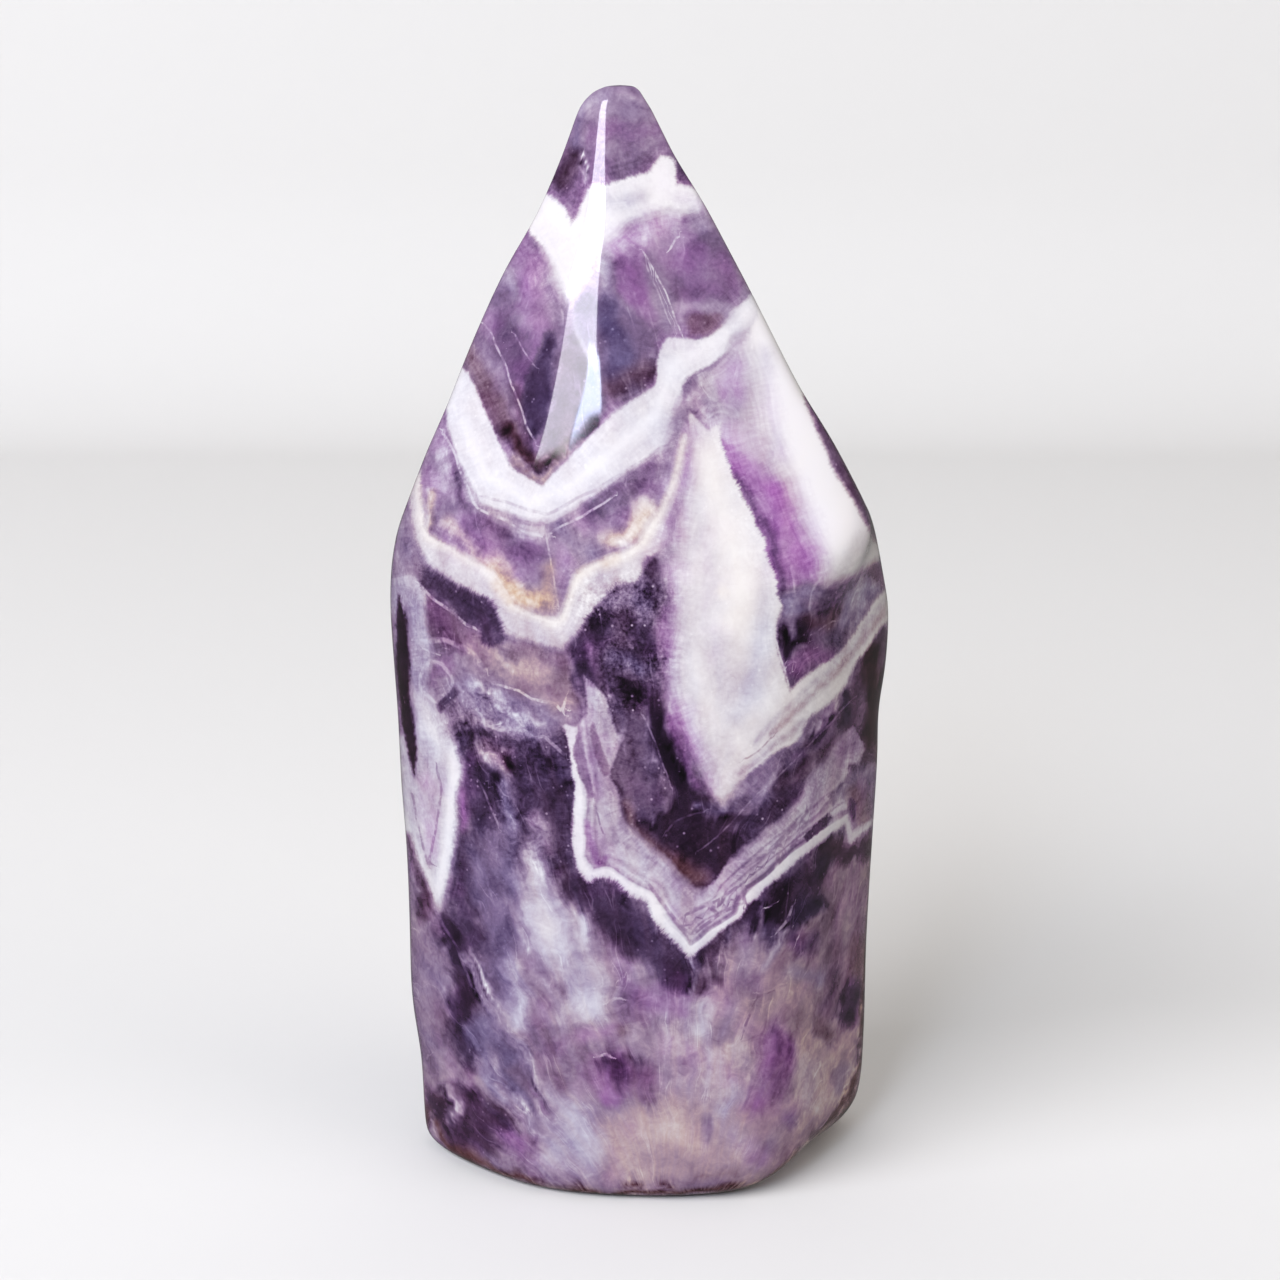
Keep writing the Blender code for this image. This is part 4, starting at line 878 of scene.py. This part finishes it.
# Strength of the grains, wisps and clouds inside the quartz, in the same form as the clouds
textureZones = [
    ([(-24, 27), (-5.6, 26), (4.4, 19.6), (9.6, 23), (24, 31), (24, -4), (-24, -4)],
      0, 2.0, (0.6, 1.0, 1.0)),
    ([(-4, 4), (2, 4), (8, 3)], 8.0, 4.0, (0.4, 0.8, 0.5)),
    ([(-3.4, 50), (0.4, 50.4), (-2, 46), (0.4, 45), (-1.4, 42)], 4.2, 1.6, (4.2, 2.6, 1.5)),
    ([(0, 38), (4, 30), (9, 29), (14, 34)], 4.0, 2.0, (1.6, 1.2, 1.2)),
    ([(-14, 40), (-10, 37)], 6.0, 2.0, (2.6, 2.6, 1.4)),
    ([(-12, 33), (-9, 28)], 4.0, 2.0, (1.6, 2.0, 1.2)),
    ([(8, 76), (10, 66), (14, 56)], 5.0, 2.0, (0.7, 0.6, 0.6)),
    ([(3, 80), (0, 74), (6, 80)], 5.0, 2.0, (0.8, 0.7, 0.7)),
    ([(-11, 76), (-9, 68)], 5.0, 2.0, (0.8, 0.9, 0.8)),
]


def coverOf(at, points, width, softness):  # how fully a cloud covers each place
    distance, side, along = measureLine(at, points, closed=not width)
    reach = width / 2 - distance if width else distance * side
    return smoothStep(-softness, softness, reach)[:, None]


def layTones(at, start, patches):  # painted one over another
    tone = np.tile(np.array(start, float), (len(at), 1))
    for points, width, softness, colour in patches:
        cover = coverOf(at, points, width, softness * cloudCrispness)
        tone = tone * (1 - cover) + cover * colour
    return tone


def layPatches(at, patches, clouds, soft=()):
    # the edge as (distance inside, along, softness), its (fringe, whether it is layered), and the tone within
    inside = np.full(len(at), -1e9)
    edge = np.zeros((len(at), 3))
    fringe = np.zeros((len(at), 3))
    tone = np.zeros((len(at), 3))
    for outline, softness, depth, colour in patches:
        distance, side, along = measureLine(at, outline, closed=True)
        reach = distance * side
        deeper = reach > inside
        inside = np.where(deeper, reach, inside)
        edge[deeper, 1] = along[deeper]
        edge[deeper, 2] = softness
        fringe[deeper, 0] = depth
        fringe[deeper, 1] = outline[0] == fifthStart
        tone[deeper] = colour
    for points, width, softness, depth in soft:
        near = 1 - smoothStep(width / 3, width, measureLine(at, points)[0])
        edge[:, 2] += near * (softness - edge[:, 2])
        fringe[:, 0] += near * (depth - fringe[:, 0])
    edge[:, 0] = np.clip(inside, -farAway, farAway)
    for points, width, softness, colour in clouds:
        cover = coverOf(at, points, width, softness)
        tone = tone * (1 - cover) + cover * colour
    return edge, fringe, tone


def layLines(at, lines):  # (signed distance, plain distance, half width) and strength of the nearest line
    nearest = np.full(len(at), 1e9)
    marks = np.zeros((len(at), 3))
    strength = np.zeros(len(at))
    for points, halfWidth, power in lines:
        distance, side, along = measureLine(at, points)
        nearer = distance < nearest
        nearest = np.where(nearer, distance, nearest)
        marks[nearer, 0] = (distance * side)[nearer]
        marks[nearer, 2] = halfWidth
        strength[nearer] = power
    marks[:, 0] = np.clip(marks[:, 0], -farAway, farAway)
    marks[:, 1] = np.clip(nearest, 0, farAway)
    return marks, strength


growthLook = {
    "root": (4, -10),  # the crystals fan out upwards from here
    "length": 7.0,  # of a streak
    "width": 0.8,  # of a streak, at this reach from the root
    "reach": 30,
    "depth": 5,
}


def layGrowth(at, places):  # coordinates along, across and through the growth, for streaks
    look = growthLook
    away = at - np.array(look["root"])
    reach = np.hypot(away[:, 0], away[:, 1])
    turn = np.arctan2(away[:, 0], away[:, 1])
    across = turn * look["reach"] / look["width"]
    return np.stack([reach / look["length"], across, places[:, 1] / look["depth"]], axis=1)


def keepAttribute(name, values):  # on the stone's points, for its material to read
    plain = values.ndim == 1
    layer = stone.data.attributes.new(name, "FLOAT" if plain else "FLOAT_VECTOR", "POINT")
    layer.data.foreach_set("value" if plain else "vector", values.astype(np.float32).ravel())


# How far the drawn shapes waver: (size, amount) in millimetres, and the seeds across and up
cloudWaver = ((2.6, 0.55, 21, 22), (0.9, 0.2, 23, 24))
edgeWaver = ((1.6, 0.1, 25, 26),)
startTone = (0.5, 0, 0)
slopeStep = 0.3
farAway = 4  # millimetres past which a distance to an edge or line doesn't matter
fifthReach = (-4, 8)
rightArm = (3.4, 5.4)  # across, where the fifth band's left layers give way to its right ones


def waver(kinds):
    return sum(
        np.stack([cloudNoise(places, size, across), cloudNoise(places, size, up)], axis=1) * amount
        for size, amount, across, up in kinds
    )


def drawMarkings():
    loose = at + waver(cloudWaver)
    tight = at + waver(edgeWaver)
    cloudTone = layTones(loose, startTone, clouds)
    keepAttribute("cloudTone", cloudTone)
    slope = np.zeros((len(at), 3))
    for axis, step in enumerate(((slopeStep, 0), (0, slopeStep))):  # how fast pigment changes, per millimetre
        slope[:, axis] = (layTones(loose + np.array(step), startTone, clouds) - cloudTone)[:, 0] / slopeStep
    keepAttribute("cloudSlope", slope)
    keepAttribute("texture", layTones(loose, (1, 1, 1), textureZones))
    distance, side, along = measureLine(tight, fifthEdge)
    depth = np.clip(distance * side, *fifthReach)
    keepAttribute("fifthLayers", np.stack([depth, smoothStep(*rightArm, at[:, 0]), along], axis=1))
    keepAttribute("growth", layGrowth(loose, places))
    for name, drawn in (("milk", (milkPatches, milkClouds, softEdges)), ("dark", (darkPatches, darkClouds))):
        edge, fringe, tone = layPatches(tight, *drawn)
        keepAttribute(name + "Edge", edge)
        keepAttribute(name + "Fringe", fringe)
        keepAttribute(name + "Tone", tone)
    for name, lines in (("pale", paleLines), ("dark", darkLines)):
        marks, strength = layLines(tight, lines)
        keepAttribute(name + "Line", marks)
        keepAttribute(name + "LinePower", strength)


drawMarkings()
print("markings drawn")

stoneLook = {
    "ior": 1.544,  # quartz
    "roughness": 0.07,
    "depth": 0.71,  # how much of the light the palest colour gives back
    # pigment from milk to nearly black, in each of four hues
    "positions": (0.04, 0.14, 0.22, 0.30, 0.37, 0.45, 0.53, 0.61, 0.69, 0.76, 0.84, 0.92, 1.0),
    "bluish": ("#EFF1F7", "#D7D7E5", "#C6C2D5", "#B4AEC4", "#A197B5", "#8F81A6", "#7A6C94", "#685A82",
               "#55466E", "#423258", "#322146", "#1E1028", "#08040C"),
    "violet": ("#F4EFF1", "#DED8DE", "#CDC3D0", "#BCADBF", "#AB96AF", "#98809E", "#856B8D", "#705878",
               "#5A4465", "#463150", "#312038", "#1F1124", "#09040B"),
    "magenta": ("#F9F1F8", "#E9D6E9", "#D9BCDB", "#CCA3CF", "#C28CC4", "#B272B5", "#9C58A2", "#84458C",
                "#6B3474", "#53255C", "#3B1842", "#230C28", "#0B030D"),
    "earth": ("#F8EFE3", "#EADACB", "#DEC6B0", "#D2AE93", "#BE988A", "#A58584", "#8F6E70", "#7A565A",
              "#673F44", "#552E32", "#3E1B1E", "#260D10", "#0C0404"),
    "hueDrift": 1.1,
    "rusting": 0.5,
    "earthShare": 0.03,
}

# Noises in the quartz: (what each follows, size, detail, roughness, twist). Sizes are in millimetres, or in
# streaks where a noise follows the growth. Where it follows an edge, edgeSizes gives them.
quartzNoises = {
    "ragged": ("place", 0.5, 3, 0.6, 0),
    "clouds": ("place", 2.6, 4, 0.5, 0),
    "wisps": ("place", 1.2, 4, 0.6, 1.4),
    "grains": ("place", 0.32, 2, 0.6, 0),
    "streaks": ("growth", 1, 4, 0.6, 0.3),
    "threads": ("growth", 1.7, 2, 0.5, 0.2),
    "threadPlaces": ("place", 3, 1, 0.5, 0),
    "fleckPlaces": ("place", 1.6, 2, 0.5, 0),
    "linePlaces": ("place", 0.8, 2, 0.6, 0),
    "hues": ("place", 3.4, 2, 0.5, 0),
    "rust": ("growth", 1.4, 3, 0.5, 0),
    "milkFibre": ("milkFibre", 1, 4, 0.65, 0),
    "darkFibre": ("darkFibre", 1, 4, 0.65, 0),
    "layering": ("milkLayers", 1, 2, 0.5, 0),
    "layerWaver": ("fifthLayers", 1, 1, 0.5, 0),
}
edgeSizes = {  # along the edge, and in from it
    "milkFibre": (0.34, 2.2),
    "darkFibre": (0.34, 2.2),
    "milkLayers": (5.0, 0.32),
    "fifthLayers": (4.0, 2.0),
}
frays = (("place", 2.4, 2.6), ("growth", 0.8, 2.2))  # what a cloud's edge frays along, size, amount
frayNoise = {"Detail": 3, "Roughness": 0.55, "Distortion": 0.3}
grainStrength = {
    "clouds": 0.56, "wisps": 0.34, "grains": 0.2, "streaks": 0.17, "milkFibre": 0.4, "layering": 0.24,
}
edgeLook = {
    "fringe": 2.8, "ragged": 0.45, "layerWaver": 0.9, "layerHue": 0.12, "layerEarth": 0.02, "layerCover": 0.8,
}
spreadLook = {"most": 3.4, "least": 0.02, "bandReach": (3.2, 0.2), "awayFromBand": 0.12}
threadLook = {"width": 0.022, "places": (-0.02, 0.16), "pigment": -0.12}
fleckLook = {"apart": 0.55, "size": (0.3, 0.08), "share": 0.66, "pigment": -0.36,
             "places": (-0.08, 0.12, 0.15, 1), "inDark": (0.5, 0.75, 0.2, 1), "byGrain": (0.4, 2.4, 0.5, 1.6)}
lineLook = {"pigment": {"pale": 0.14, "dark": 0.66}, "wobble": 0.1, "soft": 0.07, "core": 0.5, "cutOff": 0.7,
            "broken": (-0.12, 0.08), "faintest": 0.25}

# What a Math, Vector Math, Map Range or Mix node does
plus, minus, times, timesPlus, absolute, lessThan, moreThan, scaled, dot = (
    {"operation": kind} for kind in (
        "ADD", "SUBTRACT", "MULTIPLY", "MULTIPLY_ADD", "ABSOLUTE", "LESS_THAN", "GREATER_THAN", "SCALE",
        "DOT_PRODUCT",
    )
)
smooth = {"interpolation_type": "SMOOTHSTEP"}
mixedTones, mixedColours, mixedValues = ({"data_type": kind} for kind in ("VECTOR", "RGBA", "FLOAT"))


def makeStoneMaterial():
    # Amethyst, cut and polished: a wet gloss over clouded violet quartz
    material = bpy.data.materials.new("polished_amethyst")
    material.use_nodes = True
    tree = material.node_tree
    surface = tree.nodes["Principled BSDF"]
    look = stoneLook
    add = functools.partial(addNode, tree)

    # what was drawn on the skin, whole and in its parts
    drawn = {
        layer: add("Attribute", {"attribute_name": layer}).outputs["Vector"]
        for layer in (
            "cloudTone", "cloudSlope", "texture", "growth", "fifthLayers", "milkEdge", "milkFringe",
            "milkTone", "darkEdge", "darkFringe", "darkTone", "paleLine", "paleLinePower", "darkLine",
            "darkLinePower",
        )
    }
    grain, wisp, cloud = add("SeparateXYZ", None, (drawn["texture"],)).outputs
    fifthDepth, rightness, fifthAlong = add("SeparateXYZ", None, (drawn["fifthLayers"],)).outputs
    milkReach, milkAlong, milkSoftness = add("SeparateXYZ", None, (drawn["milkEdge"],)).outputs
    darkReach, darkAlong, darkSoftness = add("SeparateXYZ", None, (drawn["darkEdge"],)).outputs
    milkFringe, layered, _ = add("SeparateXYZ", None, (drawn["milkFringe"],)).outputs
    darkFringe = add("SeparateXYZ", None, (drawn["darkFringe"],)).outputs[0]

    # what the noises follow
    object3d = add("TexCoord").outputs["Object"]
    follows = {"place": add("VectorMath", scaled, {0: object3d, "Scale": 1000.0}), "growth": drawn["growth"]}
    for name, along, depth in (
        ("milkFibre", milkAlong, milkReach), ("darkFibre", darkAlong, darkReach),
        ("milkLayers", milkAlong, milkReach), ("fifthLayers", fifthAlong, fifthDepth),
    ):
        alongSize, depthSize = edgeSizes[name]
        follows[name] = add("CombineXYZ", None, (
            add("Math", times, (along, 1 / alongSize)), add("Math", times, (depth, 1 / depthSize)),
        ))
    wave = {}  # each runs from about -0.5 to 0.5
    for name, (guide, size, detail, rough, twist) in quartzNoises.items():
        noise = add("TexNoise", None, {
            "Vector": follows[guide], "Scale": 1 / size, "Detail": detail, "Roughness": rough,
            "Distortion": twist,
        })
        wave[name] = add("Math", minus, (noise, 0.5))

    # the fifth band's layers, wavering a little
    depth = add("Math", timesPlus, (wave["layerWaver"], edgeLook["layerWaver"], fifthDepth))
    depth = add("Math", times, (depth, 1 / layersWithin))
    arms = {}
    for arm, layers in fifthLayers.items():
        stops = [(deep / layersWithin, [grey] * 3 + [1]) for deep, grey in layers]
        arms[arm] = add("ValToRGB", None, (depth,), stops)
    layerPigment = add("Mix", mixedColours, {0: rightness, 6: arms["Left"], 7: arms["Right"]}).outputs[2]
    layerTone = add("CombineXYZ", None, (layerPigment, edgeLook["layerHue"], edgeLook["layerEarth"]))

    # the patches, milk and then dark, over the clouds, with edges that run out in fibres
    tone = drawn["cloudTone"]
    covers = {}
    for name, reach, softness, fringe in (
        ("milk", milkReach, milkSoftness, milkFringe), ("dark", darkReach, darkSoftness, darkFringe),
    ):
        fringe = add("Math", times, (fringe, edgeLook["fringe"]))
        moved = add("Math", timesPlus, (wave[name + "Fibre"], fringe, reach))
        moved = add("Math", timesPlus, (wave["ragged"], edgeLook["ragged"], moved))
        cover = add("MapRange", smooth, (moved, add("Math", times, (softness, -1)), softness))
        tone = add("Mix", mixedTones, {0: cover, 4: tone, 5: drawn[name + "Tone"]}).outputs[1]
        if name == "milk":
            milkCover = cover
            cover = add("Math", times, (add("Math", times, (layered, cover)), edgeLook["layerCover"]))
            tone = add("Mix", mixedTones, {0: cover, 4: tone, 5: layerTone}).outputs[1]
    clear = add("Math", minus, (1, milkCover))
    pigment, hue, earth = add("SeparateXYZ", None, (tone,)).outputs

    # the edges of the clouds fray, mostly along the growth
    for guide, size, amount in frays:
        fray = add("TexNoise", None, {"Vector": follows[guide], "Scale": 1 / size, **frayNoise})
        fray = add("VectorMath", minus, (fray.outputs["Color"], (0.5, 0.5, 0.5)))
        fray = add("VectorMath", dot, (fray, drawn["cloudSlope"])).outputs["Value"]
        fray = add("Math", times, (add("Math", times, (fray, cloud)), clear))
        pigment = add("Math", timesPlus, (fray, amount, pigment))

    # clouds, wisps, grains and streaks inside the quartz, strongest where it is neither milk nor black
    nearBand = add("MapRange", smooth, (
        add("Math", absolute, (milkReach,)), *spreadLook["bandReach"], spreadLook["awayFromBand"], 1,
    ))
    shift = 0.0
    for name, zone in (
        ("clouds", cloud), ("wisps", wisp), ("grains", grain), ("streaks", cloud), ("milkFibre", nearBand),
        ("layering", nearBand),
    ):
        shift = add("Math", timesPlus, (add("Math", times, (wave[name], zone)), grainStrength[name], shift))
    spread = add("Math", times, (add("Math", minus, (1, pigment)), pigment))
    spread = add("Math", timesPlus, (spread, spreadLook["most"], spreadLook["least"]))
    pigment = add("Math", timesPlus, (shift, spread, pigment))

    # thin pale threads along the growth
    thread = add("Math", absolute, (wave["threads"],))
    thread = add("MapRange", smooth, (thread, threadLook["width"], 0, 0, 1))
    for share in (add("MapRange", smooth, (wave["threadPlaces"], *threadLook["places"])), clear, cloud):
        thread = add("Math", times, (thread, share))
    pigment = add("Math", timesPlus, (thread, threadLook["pigment"], pigment))

    # pale flecks in the darker quartz, where tiny cracks catch the light
    flecks = add("TexVoronoi", None, {"Vector": follows["place"], "Scale": 1 / fleckLook["apart"]})
    chance = add("SeparateXYZ", None, (flecks.outputs["Color"],))
    fleck = add("MapRange", smooth, (flecks.outputs["Distance"], *fleckLook["size"]))
    for share in (
        add("Math", moreThan, (chance, fleckLook["share"])),
        add("MapRange", smooth, (wave["fleckPlaces"], *fleckLook["places"])),
        add("MapRange", smooth, (pigment, *fleckLook["inDark"])),
        add("MapRange", smooth, (grain, *fleckLook["byGrain"])),
    ):
        fleck = add("Math", times, (fleck, share))
    pigment = add("Math", timesPlus, (fleck, fleckLook["pigment"], pigment))

    # thin lines, broken here and there
    broken = add("MapRange", smooth, (wave["linePlaces"], *lineLook["broken"], lineLook["faintest"], 1))
    for name, target in lineLook["pigment"].items():
        signed, plain, halfWidth = add("SeparateXYZ", None, (drawn[name + "Line"],)).outputs
        wobble = add("Math", timesPlus, (wave["ragged"], lineLook["wobble"], signed))
        across = add("Math", absolute, (wobble,))
        outer = add("Math", plus, (halfWidth, lineLook["soft"]))
        line = add("MapRange", smooth, (across, outer, add("Math", times, (halfWidth, lineLook["core"]))))
        power = add("SeparateXYZ", None, (drawn[name + "LinePower"],))
        for share in (add("Math", lessThan, (plain, lineLook["cutOff"])), broken, power):
            line = add("Math", times, (line, share))
        pigment = add("Mix", mixedValues, {0: line, 2: pigment, 3: target})

    # pigment to colour in each hue, and the hues over one another
    colours = {}
    for name in ("violet", "bluish", "magenta", "earth"):
        shades = [[part * look["depth"] for part in linearColour(code)[:3]] + [1] for code in look[name]]
        colours[name] = add("ValToRGB", None, (pigment,), list(zip(look["positions"], shades)))
    hue = add("Math", timesPlus, (wave["hues"], look["hueDrift"], hue))
    earth = add("Math", timesPlus, (wave["rust"], look["rusting"], earth))
    colour = colours["violet"]
    for name, share in (
        ("bluish", add("Math", times, (hue, -1))), ("magenta", hue),
        ("earth", add("Math", plus, (earth, look["earthShare"]))),
    ):
        colour = add("Mix", mixedColours, {0: share, 6: colour, 7: colours[name]}).outputs[2]
    tree.links.new(colour, surface.inputs["Base Color"])
    surface.inputs["Roughness"].default_value = look["roughness"]
    surface.inputs["IOR"].default_value = look["ior"]
    surface.inputs["Metallic"].default_value = 0.0
    return material


stone.data.materials.clear()
stone.data.materials.append(makeStoneMaterial())
print("stone polished")

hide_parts("amethyst_point")
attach(stone, "root")
